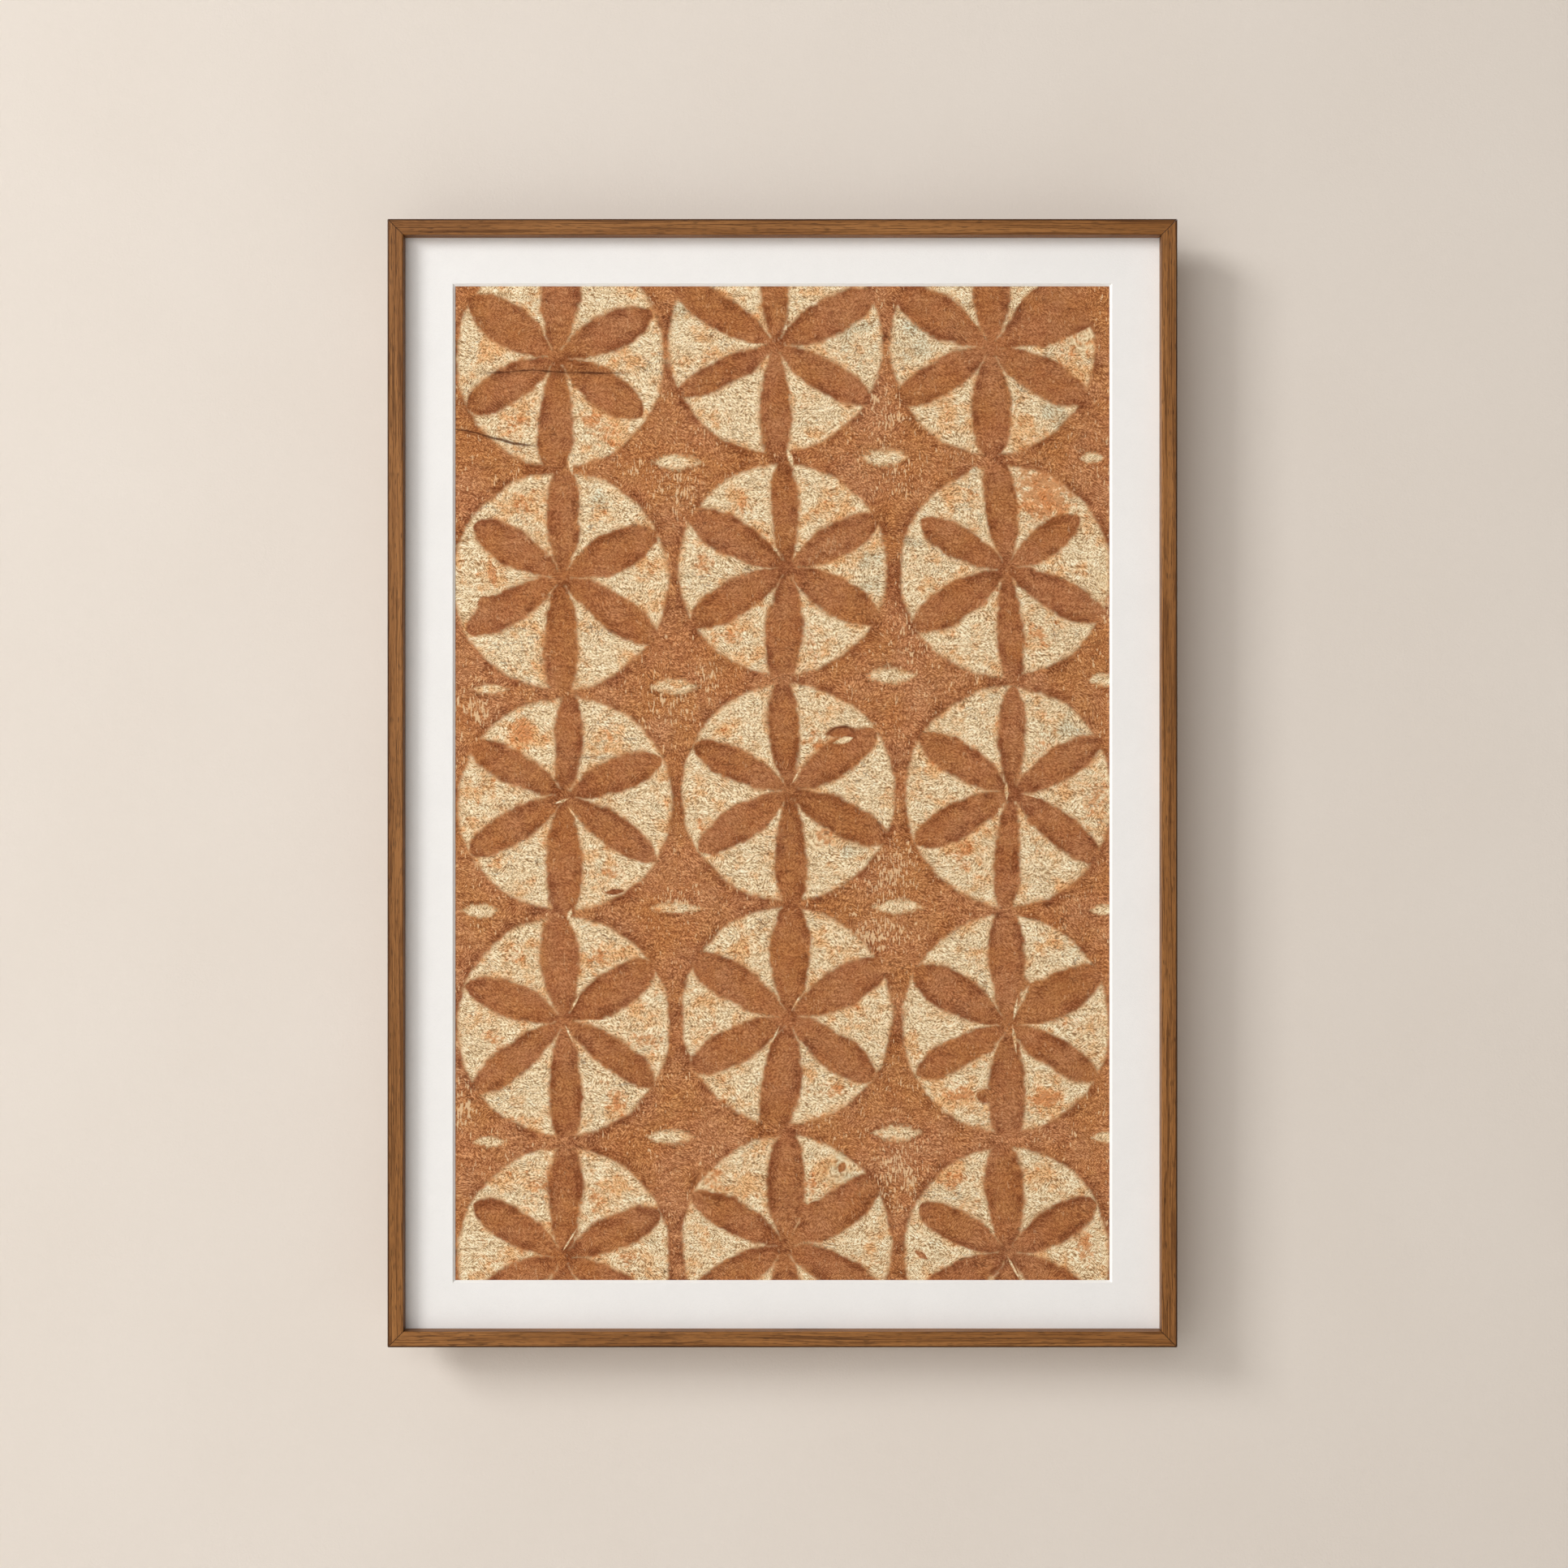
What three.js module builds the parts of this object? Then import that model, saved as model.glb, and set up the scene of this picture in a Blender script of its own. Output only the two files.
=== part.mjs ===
// A framed piece of tapa bark cloth, in millimetres, +Z up. The front faces -Y and the back of the
// rails lies on the plane y = 0. The origin is the middle of the top rail's back face, where it hangs.

import * as THREE from 'three';

// Driving sizes of the wooden frame
const FRAME_WIDTH = 700;
const FRAME_HEIGHT = 1000;
const FRAME_DEPTH = 28;
const FACE_WIDTH = 14;
const ARRIS_RADIUS = 1.2;
const ARRIS_STEPS = 6;

// The rebate behind the lip holds the mat, the cloth and the board. Its cheek is the rest of the rail.
const LIP_WIDTH = 6;
const LIP_DEPTH = 14.7;

// Driving sizes of what lies in the rebate, from the front to the back
const WINDOW_WIDTH = 588;
const WINDOW_HEIGHT = 891;
const MAT_THICKNESS = 2.2;
const CLOTH_OVERLAP = 15;
const CLOTH_THICKNESS = 1.2;
const BOARD_THICKNESS = 3;
const REBATE_CLEARANCE = 1;
const FIT_GAP = 0.3;

// Bent metal tabs that keep the board in the rebate
const TAB_WIDTH = 8;
const TAB_LENGTH = 20;
const TAB_THICKNESS = 0.6;
const TAB_END_STEPS = 8;

// The cloth's grid, and the flat border that the mat clamps and its window starts from
const CLOTH_COLUMNS = 28;
const CLOTH_ROWS = 42;
const FLAT_BORDER = 15;
const RISING_BORDER = 45;

// Broad uneven swell of the whole sheet: a height and two wavelengths
const SWELL = { rise: 0.3, across: 230, down: 310 };

// Soft ridges of the cloth, where its creases and thick places lie. Places are from the middle of the
// window, x to the right and z up. Length and width are the ridge's own, turn is in degrees.
const RIDGES = [
  { x: -193, z: 366, length: 150, width: 34, turn: -1, rise: 0.6 },
  { x: -235, z: 308, length: 110, width: 30, turn: -10, rise: 0.5 },
  { x: -172, z: 24, length: 90, width: 34, turn: 3, rise: 0.45 },
  { x: 52, z: 44, length: 80, width: 44, turn: 24, rise: 0.4 },
  { x: 34, z: -50, length: 50, width: 44, turn: 0, rise: 0.55 },
  { x: -68, z: -360, length: 60, width: 48, turn: 12, rise: 0.5 },
  { x: 150, z: 214, length: 150, width: 36, turn: 2, rise: 0.45 },
  { x: 205, z: -210, length: 110, width: 50, turn: -38, rise: 0.4 },
  { x: -95, z: 190, length: 46, width: 180, turn: 4, rise: 0.35 },
  { x: -90, z: -250, length: 50, width: 170, turn: -5, rise: 0.35 },
];

// Sizes worked out from the driving ones
const CHEEK_WIDTH = FACE_WIDTH - LIP_WIDTH;
const INSERT_WIDTH = FRAME_WIDTH - 2 * (CHEEK_WIDTH + REBATE_CLEARANCE);
const INSERT_HEIGHT = FRAME_HEIGHT - 2 * (CHEEK_WIDTH + REBATE_CLEARANCE);
const CLOTH_WIDTH = WINDOW_WIDTH + 2 * CLOTH_OVERLAP;
const CLOTH_HEIGHT = WINDOW_HEIGHT + 2 * CLOTH_OVERLAP;

// Where each layer's back lies, from the front layer to the back one
const MAT_BACK = -FRAME_DEPTH + LIP_DEPTH + FIT_GAP + MAT_THICKNESS;
const CLOTH_BACK = MAT_BACK + FIT_GAP + CLOTH_THICKNESS;
const BOARD_BACK = CLOTH_BACK + FIT_GAP + BOARD_THICKNESS;
const TAB_BACK = BOARD_BACK + FIT_GAP + TAB_THICKNESS;

// The frame's four sides: how each is turned about the middle, its length, the distance from the
// middle to its outer edge, and where its tabs stand along it
const SIDES = [
  { name: 'top', turn: 0, length: FRAME_WIDTH, reach: FRAME_HEIGHT / 2, tabs: [-190, 190] },
  { name: 'right', turn: 90, length: FRAME_HEIGHT, reach: FRAME_WIDTH / 2, tabs: [-330, 0, 330] },
  { name: 'bottom', turn: 180, length: FRAME_WIDTH, reach: FRAME_HEIGHT / 2, tabs: [-190, 190] },
  { name: 'left', turn: -90, length: FRAME_HEIGHT, reach: FRAME_WIDTH / 2, tabs: [-330, 0, 330] },
];

const FINISHES = {
  wood: new THREE.MeshStandardMaterial({ color: 0x86592f, roughness: 0.5, metalness: 0 }),
  mat: new THREE.MeshStandardMaterial({ color: 0xf0eeec, roughness: 0.9, metalness: 0 }),
  cloth: new THREE.MeshStandardMaterial({ color: 0xb87f4e, roughness: 0.95, metalness: 0 }),
  board: new THREE.MeshStandardMaterial({ color: 0x9a7650, roughness: 0.85, metalness: 0 }),
  steel: new THREE.MeshStandardMaterial({ color: 0x9c9a96, roughness: 0.4, metalness: 0.9 }),
};

function named(name, geometry, finish) {
  const mesh = new THREE.Mesh(geometry, finish);
  mesh.name = name;
  return mesh;
}

// A rail's section, x from the outer edge inwards and y from the front face backwards
function railSection() {
  const section = new THREE.Shape();
  section.moveTo(0, FRAME_DEPTH);
  section.lineTo(0, ARRIS_RADIUS);
  section.absarc(ARRIS_RADIUS, ARRIS_RADIUS, ARRIS_RADIUS, Math.PI, 1.5 * Math.PI, false);
  section.lineTo(FACE_WIDTH - ARRIS_RADIUS, 0);
  section.absarc(FACE_WIDTH - ARRIS_RADIUS, ARRIS_RADIUS, ARRIS_RADIUS, 1.5 * Math.PI, 2 * Math.PI, false);
  section.lineTo(FACE_WIDTH, LIP_DEPTH);
  section.lineTo(CHEEK_WIDTH, LIP_DEPTH);
  section.lineTo(CHEEK_WIDTH, FRAME_DEPTH);
  section.closePath();
  return section;
}

// A rail with both ends cut to the mitre, lying along X with its outer edge up
function railGeometry(length, reach) {
  const geometry = new THREE.ExtrudeGeometry(railSection(), {
    depth: 1,
    steps: 1,
    curveSegments: ARRIS_STEPS,
    bevelEnabled: false,
  });
  const mitreGap = (FIT_GAP / 2) * Math.SQRT2;
  const points = geometry.getAttribute('position');
  for (let i = 0; i < points.count; i += 1) {
    const inwards = points.getX(i);
    const behind = points.getY(i);
    const end = points.getZ(i) < 0.5 ? -1 : 1;
    points.setXYZ(i, end * (length / 2 - inwards - mitreGap), behind - FRAME_DEPTH, reach - inwards);
  }
  geometry.computeVertexNormals();
  return geometry;
}

// A board ring whose window is cut at 45 degrees, wider at the front than at the back
function matGeometry() {
  const outline = rectangle(new THREE.Shape(), INSERT_WIDTH, INSERT_HEIGHT);
  outline.holes.push(rectangle(new THREE.Path(), WINDOW_WIDTH, WINDOW_HEIGHT));
  const geometry = new THREE.ExtrudeGeometry(outline, { depth: MAT_THICKNESS, bevelEnabled: false });
  const points = geometry.getAttribute('position');
  for (let i = 0; i < points.count; i += 1) {
    const onWindow = Math.abs(points.getX(i)) < (WINDOW_WIDTH + INSERT_WIDTH) / 4;
    const onBack = points.getZ(i) < MAT_THICKNESS / 2;
    if (onWindow && onBack) {
      points.setX(i, points.getX(i) - Math.sign(points.getX(i)) * MAT_THICKNESS);
      points.setY(i, points.getY(i) - Math.sign(points.getY(i)) * MAT_THICKNESS);
    }
  }
  geometry.rotateX(Math.PI / 2);
  geometry.translate(0, MAT_BACK, 0);
  geometry.computeVertexNormals();
  return geometry;
}

function rectangle(path, width, height) {
  path.moveTo(-width / 2, -height / 2);
  path.lineTo(width / 2, -height / 2);
  path.lineTo(width / 2, height / 2);
  path.lineTo(-width / 2, height / 2);
  path.closePath();
  return path;
}

// From 0 on the flat border to 1 inside the rising one, for one axis of the cloth
function awayFromEdge(distance, windowSize) {
  const inside = windowSize / 2 - Math.abs(distance) - FLAT_BORDER;
  return THREE.MathUtils.smoothstep(inside, 0, RISING_BORDER);
}

// How far the cloth stands forward at a place in the window
function clothRise(x, z) {
  const wave = Math.sin((2 * Math.PI * x) / SWELL.across + 1) * Math.sin((2 * Math.PI * z) / SWELL.down);
  let rise = SWELL.rise * (1 + wave);
  for (const ridge of RIDGES) {
    const turn = THREE.MathUtils.degToRad(ridge.turn);
    const along = (x - ridge.x) * Math.cos(turn) + (z - ridge.z) * Math.sin(turn);
    const across = (z - ridge.z) * Math.cos(turn) - (x - ridge.x) * Math.sin(turn);
    rise += ridge.rise * Math.exp(-((2 * along / ridge.length) ** 2) - (2 * across / ridge.width) ** 2);
  }
  return rise * awayFromEdge(x, WINDOW_WIDTH) * awayFromEdge(z, WINDOW_HEIGHT);
}

// The cloth as an even sheet that swells forward inside the window
function clothGeometry() {
  const geometry = new THREE.BoxGeometry(
    CLOTH_WIDTH, CLOTH_THICKNESS, CLOTH_HEIGHT,
    CLOTH_COLUMNS, 1, CLOTH_ROWS,
  );
  const points = geometry.getAttribute('position');
  const middle = CLOTH_BACK - CLOTH_THICKNESS / 2;
  for (let i = 0; i < points.count; i += 1) {
    points.setY(i, points.getY(i) + middle - clothRise(points.getX(i), points.getZ(i)));
  }
  geometry.computeVertexNormals();
  return geometry;
}

function boardGeometry() {
  const geometry = new THREE.BoxGeometry(INSERT_WIDTH, BOARD_THICKNESS, INSERT_HEIGHT);
  geometry.translate(0, BOARD_BACK - BOARD_THICKNESS / 2, 0);
  return geometry;
}

// A flat tab with a round inner end, standing inwards from the cheek of the top rail's rebate
function tabGeometry(place, reach) {
  const root = reach - CHEEK_WIDTH - FIT_GAP;
  const round = root - TAB_LENGTH + TAB_WIDTH / 2;
  const outline = new THREE.Shape();
  outline.moveTo(place + TAB_WIDTH / 2, root);
  outline.lineTo(place - TAB_WIDTH / 2, root);
  outline.lineTo(place - TAB_WIDTH / 2, round);
  outline.absarc(place, round, TAB_WIDTH / 2, Math.PI, 2 * Math.PI, false);
  outline.closePath();
  const geometry = new THREE.ExtrudeGeometry(outline, {
    depth: TAB_THICKNESS,
    curveSegments: TAB_END_STEPS,
    bevelEnabled: false,
  });
  geometry.rotateX(Math.PI / 2);
  geometry.translate(0, TAB_BACK, 0);
  return geometry;
}

// One side of the frame with its tabs, turned about the middle of the frame
function frameSide(side) {
  const group = new THREE.Group();
  group.rotation.y = THREE.MathUtils.degToRad(side.turn);
  group.add(named(`frame_${side.name}`, railGeometry(side.length, side.reach), FINISHES.wood));
  side.tabs.forEach((place, index) => {
    group.add(named(`tab_${side.name}_${index + 1}`, tabGeometry(place, side.reach), FINISHES.steel));
  });
  return group;
}

function framedCloth() {
  const group = new THREE.Group();
  group.position.z = CHEEK_WIDTH / 2 - FRAME_HEIGHT / 2;
  for (const side of SIDES) {
    group.add(frameSide(side));
  }
  group.add(named('mat_board', matGeometry(), FINISHES.mat));
  group.add(named('tapa_cloth', clothGeometry(), FINISHES.cloth));
  group.add(named('backing_board', boardGeometry(), FINISHES.board));
  const whole = new THREE.Group();
  whole.add(group);
  return whole;
}

export default framedCloth();
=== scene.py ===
"""A painted tapa bark cloth in a slim walnut frame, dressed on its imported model.

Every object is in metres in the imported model's frame. The cloth's chart, its folds and its patches are
given in millimetres from the middle of the mat's window, x to the right and z upwards.
"""

import logging
import math
from dataclasses import dataclass, field
from enum import Enum

import bpy
import numpy as np
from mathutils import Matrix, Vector

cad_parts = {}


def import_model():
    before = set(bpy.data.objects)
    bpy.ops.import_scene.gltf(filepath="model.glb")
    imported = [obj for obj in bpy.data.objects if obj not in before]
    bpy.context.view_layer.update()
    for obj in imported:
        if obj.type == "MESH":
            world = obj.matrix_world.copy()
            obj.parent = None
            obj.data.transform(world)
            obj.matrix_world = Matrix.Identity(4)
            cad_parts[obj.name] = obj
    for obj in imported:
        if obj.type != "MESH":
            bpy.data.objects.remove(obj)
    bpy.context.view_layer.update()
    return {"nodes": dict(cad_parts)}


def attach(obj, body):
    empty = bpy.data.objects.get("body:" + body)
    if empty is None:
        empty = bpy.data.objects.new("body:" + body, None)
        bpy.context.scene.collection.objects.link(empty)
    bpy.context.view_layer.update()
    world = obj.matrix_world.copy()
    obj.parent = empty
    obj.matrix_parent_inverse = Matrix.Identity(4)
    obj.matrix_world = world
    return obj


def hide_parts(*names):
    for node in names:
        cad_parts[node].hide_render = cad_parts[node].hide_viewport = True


log = logging.getLogger("tapa")

MM = 0.001
BODY = "root"
MIDDLE_HEIGHT = -496.0

Colour = tuple[float, float, float]
Corner = tuple[float, float, float]
Array = np.ndarray
Socket = bpy.types.NodeSocket


class GrainRun(Enum):
    """Which way a rail's grain runs."""

    ACROSS = "across"
    UPRIGHT = "upright"


class Patch(Enum):
    """The kinds of soft patch on the cloth, each kept in an attribute of this name."""

    SMEAR = "Smear"
    STAIN = "Stain"
    PEACH = "Peach"
    WORN = "Worn"
    GREY = "Grey"


def tint(red: float, green: float, blue: float) -> tuple[float, float, float, float]:
    """Turns a colour as a screen shows it into the linear one that a shader wants.

    Args:
        red: Red from 0 to 255.
        green: Green from 0 to 255.
        blue: Blue from 0 to 255.

    Returns:
        The linear colour, opaque.
    """
    linear = [
        part / 12.92 if part <= 0.04045 else ((part + 0.055) / 1.055) ** 2.4
        for part in (red / 255, green / 255, blue / 255)
    ]
    return (linear[0], linear[1], linear[2], 1.0)


@dataclass
class NodeSheet:
    """Adds and joins the nodes of one tree, so that a finish reads as a list of steps."""

    tree: bpy.types.NodeTree

    def add(self, kind: str, **settings: object) -> bpy.types.Node:
        """Adds a node of one kind, with its settings.

        Args:
            kind: The node's type name.
            settings: Properties of the node and their values.

        Returns:
            The new node.
        """
        node = self.tree.nodes.new(kind)
        for name, value in settings.items():
            setattr(node, name, value)
        return node

    def fed(self, kind: str, values: dict[object, object], **settings: object) -> bpy.types.Node:
        """Adds a node and feeds its inputs.

        Args:
            kind: The node's type name.
            values: What to feed, by the input's name or number.
            settings: Properties of the node and their values.

        Returns:
            The new node.
        """
        node = self.add(kind, **settings)
        for name, value in values.items():
            self.feed(node.inputs[name], value)
        return node

    def feed(self, socket: Socket, value: object) -> None:
        """Joins a socket to another, or gives it a plain value.

        Args:
            socket: The input to feed.
            value: An output socket, or a number, colour or vector.
        """
        if isinstance(value, bpy.types.NodeSocket):
            self.tree.links.new(value, socket)
        else:
            socket.default_value = value

    def maths(self, operation: str, *values: object, clamp: bool = False) -> Socket:
        """Adds a Math node.

        Args:
            operation: The Math node's operation.
            values: Its inputs in order.
            clamp: True to keep the result from 0 to 1.

        Returns:
            The result's socket.
        """
        return self.fed("ShaderNodeMath", dict(enumerate(values)), operation=operation, use_clamp=clamp).outputs[0]

    def times(self, first: object, second: object) -> Socket:
        """Returns the product of two numbers."""
        return self.maths("MULTIPLY", first, second)

    def minus(self, first: object, second: object) -> Socket:
        """Returns the first number less the second."""
        return self.maths("SUBTRACT", first, second)

    def fused(self, first: object, second: object, third: object) -> Socket:
        """Returns the first number times the second, plus the third."""
        return self.maths("MULTIPLY_ADD", first, second, third)

    def centred(self, value: object) -> Socket:
        """Returns a number less a half, so that a noise lies about zero."""
        return self.maths("SUBTRACT", value, 0.5)

    def vector_maths(self, operation: str, *values: object, scale: object = None) -> Socket:
        """Adds a Vector Math node.

        Args:
            operation: The node's operation.
            values: Its vector inputs in order.
            scale: The number that a SCALE operation uses.

        Returns:
            The result's socket, a number for LENGTH and a vector for the rest.
        """
        node = self.fed("ShaderNodeVectorMath", dict(enumerate(values)), operation=operation)
        if scale is not None:
            self.feed(node.inputs["Scale"], scale)
        return node.outputs["Value" if operation == "LENGTH" else "Vector"]

    def map_range(
        self, value: object, low: float, high: float, least: object = 0.0, most: object = 1.0
    ) -> Socket:
        """Turns a number that goes from low to high into a smooth rise between two values.

        Args:
            value: The number.
            low: Where the rise starts; it may be above high, for a fall.
            high: Where the rise ends.
            least: The result before the rise.
            most: The result after the rise.

        Returns:
            The result's socket.
        """
        values = {"Value": value, "From Min": low, "From Max": high, "To Min": least, "To Max": most}
        return self.fed("ShaderNodeMapRange", values, interpolation_type="SMOOTHSTEP").outputs["Result"]

    def noise_node(
        self, place: object, size: float, detail: float = 1.0, roughness: float = 0.5
    ) -> bpy.types.Node:
        """Adds a Noise Texture whose lumps have a real size.

        Args:
            place: The vector that it reads.
            size: The lumps' size, in the vector's own unit.
            detail: How many finer layers it has.
            roughness: How strong the finer layers are.

        Returns:
            The noise node.
        """
        values = {"Vector": place, "Scale": 1 / size, "Detail": detail, "Roughness": roughness}
        return self.fed("ShaderNodeTexNoise", values, noise_dimensions="3D")

    def noise(self, place: object, size: float, detail: float = 1.0, roughness: float = 0.5) -> Socket:
        """Returns the value of a Noise Texture, about 0.5 on average; see noise_node."""
        return self.noise_node(place, size, detail, roughness).outputs["Fac"]

    def drift(self, place: object, size: float, reach: float) -> Socket:
        """Shifts a place a little, by a noise.

        Args:
            place: The vector to shift.
            size: The size of the noise's lumps, in the vector's unit.
            reach: About how far a place moves, in the vector's unit.

        Returns:
            The shifted vector's socket.
        """
        wander = self.noise_node(place, size).outputs["Color"]
        centred = self.vector_maths("SUBTRACT", wander, (0.5, 0.5, 0.5))
        return self.vector_maths("ADD", place, self.vector_maths("SCALE", centred, scale=reach * 2))

    def mapped(
        self, place: object, shift: tuple = (0, 0, 0), turn: tuple = (0, 0, 0), scale: tuple = (1, 1, 1)
    ) -> Socket:
        """Shifts, turns and scales a place.

        Args:
            place: The vector.
            shift: The Mapping node's location.
            turn: Its rotation, in degrees.
            scale: Its scale.

        Returns:
            The mapped vector's socket.
        """
        radians = tuple(math.radians(part) for part in turn)
        values = {"Vector": place, "Location": shift, "Rotation": radians, "Scale": scale}
        return self.fed("ShaderNodeMapping", values).outputs["Vector"]

    def blend(self, share: object, first: object, second: object, mode: str = "MIX") -> Socket:
        """Mixes two colours.

        Args:
            share: How much of the second colour shows, from 0 to 1.
            first: The first colour.
            second: The second colour.
            mode: How they mix, a Mix node's blend type.

        Returns:
            The mixed colour's socket.
        """
        values = {0: share, 6: first, 7: second}
        return self.fed("ShaderNodeMix", values, data_type="RGBA", blend_type=mode).outputs[2]

    def blend_values(self, share: object, first: object, second: object) -> Socket:
        """Mixes two numbers.

        Args:
            share: How much of the second number counts, from 0 to 1.
            first: The first number.
            second: The second number.

        Returns:
            The mixed number's socket.
        """
        return self.fed("ShaderNodeMix", {0: share, 2: first, 3: second}, data_type="FLOAT").outputs[0]

    def ramp(self, value: object, stops: tuple[tuple[float, Colour], ...]) -> Socket:
        """Turns a number into a colour.

        Args:
            value: The number, from 0 to 1.
            stops: Numbers and the colours, as a screen shows them, that they turn into.

        Returns:
            The colour's socket.
        """
        node = self.add("ShaderNodeValToRGB")
        elements = node.color_ramp.elements
        while len(elements) < len(stops):
            elements.new(0.5)
        for element, (position, colour) in zip(elements, stops):
            element.position = position
            element.color = tint(*colour)
        self.feed(node.inputs["Fac"], value)
        return node.outputs["Color"]

    def split(self, vector: Socket) -> tuple[Socket, Socket, Socket]:
        """Returns a vector's three parts."""
        node = self.fed("ShaderNodeSeparateXYZ", {0: vector})
        return node.outputs[0], node.outputs[1], node.outputs[2]

    def joined(self, *parts: object) -> Socket:
        """Returns the vector of up to three parts."""
        return self.fed("ShaderNodeCombineXYZ", dict(enumerate(parts))).outputs[0]

    def amount(self, name: str) -> Socket:
        """Returns the number in a mesh's own attribute."""
        return self.add("ShaderNodeAttribute", attribute_name=name).outputs["Fac"]

    def pair(self, name: str) -> Socket:
        """Returns the pair in a mesh's own UV map."""
        return self.add("ShaderNodeAttribute", attribute_name=name).outputs["Vector"]

    def object_place(self, middle_height: float = 0.0) -> Socket:
        """Finds the place on the piece, in millimetres.

        Args:
            middle_height: The height that counts as zero, in millimetres.

        Returns:
            The place's socket.
        """
        metres = self.add("ShaderNodeTexCoord").outputs["Object"]
        return self.mapped(metres, shift=(0, 0, -middle_height), scale=(1 / MM,) * 3)

    def group(self, tree: bpy.types.NodeTree, **values: object) -> bpy.types.Node:
        """Places a shared node group.

        Args:
            tree: The group.
            values: Its inputs by name.

        Returns:
            The group node.
        """
        return self.fed("ShaderNodeGroup", values, node_tree=tree)

    def bump(self, height: object, strength: float, distance: float) -> Socket:
        """Adds a Bump node.

        Args:
            height: The height, about 0 to 1.
            strength: How strong the bumps are, from 0 to 1.
            distance: The height of the bumps, in metres.

        Returns:
            The bent normal's socket.
        """
        values = {"Height": height, "Strength": strength, "Distance": distance}
        return self.fed("ShaderNodeBump", values).outputs["Normal"]


def start_group(
    name: str, inputs: dict[str, str], outputs: dict[str, str]
) -> tuple[NodeSheet, dict[str, Socket], bpy.types.Node]:
    """Starts a shader node group.

    Args:
        name: The group's name.
        inputs: Its inputs' names and kinds, FLOAT, VECTOR or COLOR.
        outputs: Its outputs' names and kinds.

    Returns:
        The group's sheet, its inputs' sockets by name, and its output node.
    """
    kinds = {"FLOAT": "NodeSocketFloat", "VECTOR": "NodeSocketVector", "COLOR": "NodeSocketColor"}
    tree = bpy.data.node_groups.new(name, "ShaderNodeTree")
    for socket_name, kind in inputs.items():
        tree.interface.new_socket(socket_name, in_out="INPUT", socket_type=kinds[kind])
    for socket_name, kind in outputs.items():
        tree.interface.new_socket(socket_name, in_out="OUTPUT", socket_type=kinds[kind])
    sheet = NodeSheet(tree)
    entry = sheet.add("NodeGroupInput")
    sockets = {socket_name: entry.outputs[socket_name] for socket_name in inputs}
    return sheet, sockets, sheet.add("NodeGroupOutput")


class SharedEffects:
    """The node groups that more than one finish uses, each built once."""

    def __init__(self) -> None:
        """Builds the groups."""
        self.fibres = self.build_fibres()
        self.blotches = self.build_blotches()
        self.grain = self.build_grain()

    @staticmethod
    def build_fibres() -> bpy.types.NodeTree:
        """Builds felted fibres that slant down to the right, with others across them in patches.

        Returns:
            A group that reads a place in millimetres and gives a fibre height from 0 to 1.
        """
        inputs = {"Place": "VECTOR", "Length": "FLOAT", "Width": "FLOAT"}
        sheet, entry, leave = start_group("Felted fibres", inputs, {"Height": "FLOAT"})
        place = sheet.drift(entry["Place"], 36.0, 9.0)
        along = sheet.maths("DIVIDE", 1.0, entry["Length"])
        across = sheet.maths("DIVIDE", 1.0, entry["Width"])
        stretch = sheet.joined(along, across, across)
        layers = []
        for turn, shift in ((30.0, 0.0), (-48.0, 310.0)):
            turned = sheet.mapped(place, shift=(shift, shift, 0), turn=(0, 0, turn))
            layers.append(sheet.noise(sheet.vector_maths("MULTIPLY", turned, stretch), 1.0, 0.0))
        crossing = sheet.map_range(sheet.noise(entry["Place"], 12.0), 0.4, 0.64, 0.1, 0.75)
        mixed = sheet.blend_values(crossing, layers[0], layers[1])
        sheet.feed(leave.inputs["Height"], sheet.map_range(mixed, 0.32, 0.68))
        return sheet.tree

    @staticmethod
    def build_blotches() -> bpy.types.NodeTree:
        """Builds soft patches with ragged edges.

        Returns:
            A group that reads a place, the patches' size and how much of the surface they cover.
        """
        inputs = {"Place": "VECTOR", "Size": "FLOAT", "Cover": "FLOAT", "Softness": "FLOAT"}
        sheet, entry, leave = start_group("Blotches", inputs, {"Mask": "FLOAT"})
        scaled = sheet.vector_maths("SCALE", entry["Place"], scale=sheet.maths("DIVIDE", 1.0, entry["Size"]))
        lumps = sheet.noise(scaled, 1.0, 3.0, 0.64)
        edge = sheet.minus(0.72, sheet.times(entry["Cover"], 0.44))
        above = sheet.minus(lumps, edge)
        share = sheet.maths("DIVIDE", above, sheet.maths("ADD", entry["Softness"], 0.01))
        sheet.feed(leave.inputs["Mask"], sheet.map_range(share, -0.5, 0.5))
        return sheet.tree

    @staticmethod
    def build_grain() -> bpy.types.NodeTree:
        """Builds straight wood grain along X.

        Returns:
            A group that reads a place in millimetres and gives the tone, the fine streaks and the pores.
        """
        outputs = {"Tone": "FLOAT", "Streak": "FLOAT", "Pore": "FLOAT"}
        sheet, entry, leave = start_group("Wood grain", {"Place": "VECTOR"}, outputs)
        waved = sheet.drift(entry["Place"], 150.0, 2.6)
        broad = sheet.noise(sheet.mapped(waved, scale=(1 / 240, 1 / 6, 1 / 6)), 1.0, 2.0, 0.6)
        streak = sheet.noise(sheet.mapped(waved, scale=(1 / 110, 1 / 1.1, 1 / 1.1)), 1.0, 2.0, 0.6)
        pore = sheet.noise(sheet.mapped(waved, scale=(1 / 9, 1 / 0.42, 1 / 0.42)), 1.0, 0.0)
        sheet.feed(leave.inputs["Tone"], sheet.map_range(broad, 0.3, 0.7))
        sheet.feed(leave.inputs["Streak"], sheet.map_range(streak, 0.32, 0.68))
        sheet.feed(leave.inputs["Pore"], sheet.map_range(pore, 0.6, 0.72))
        return sheet.tree


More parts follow.
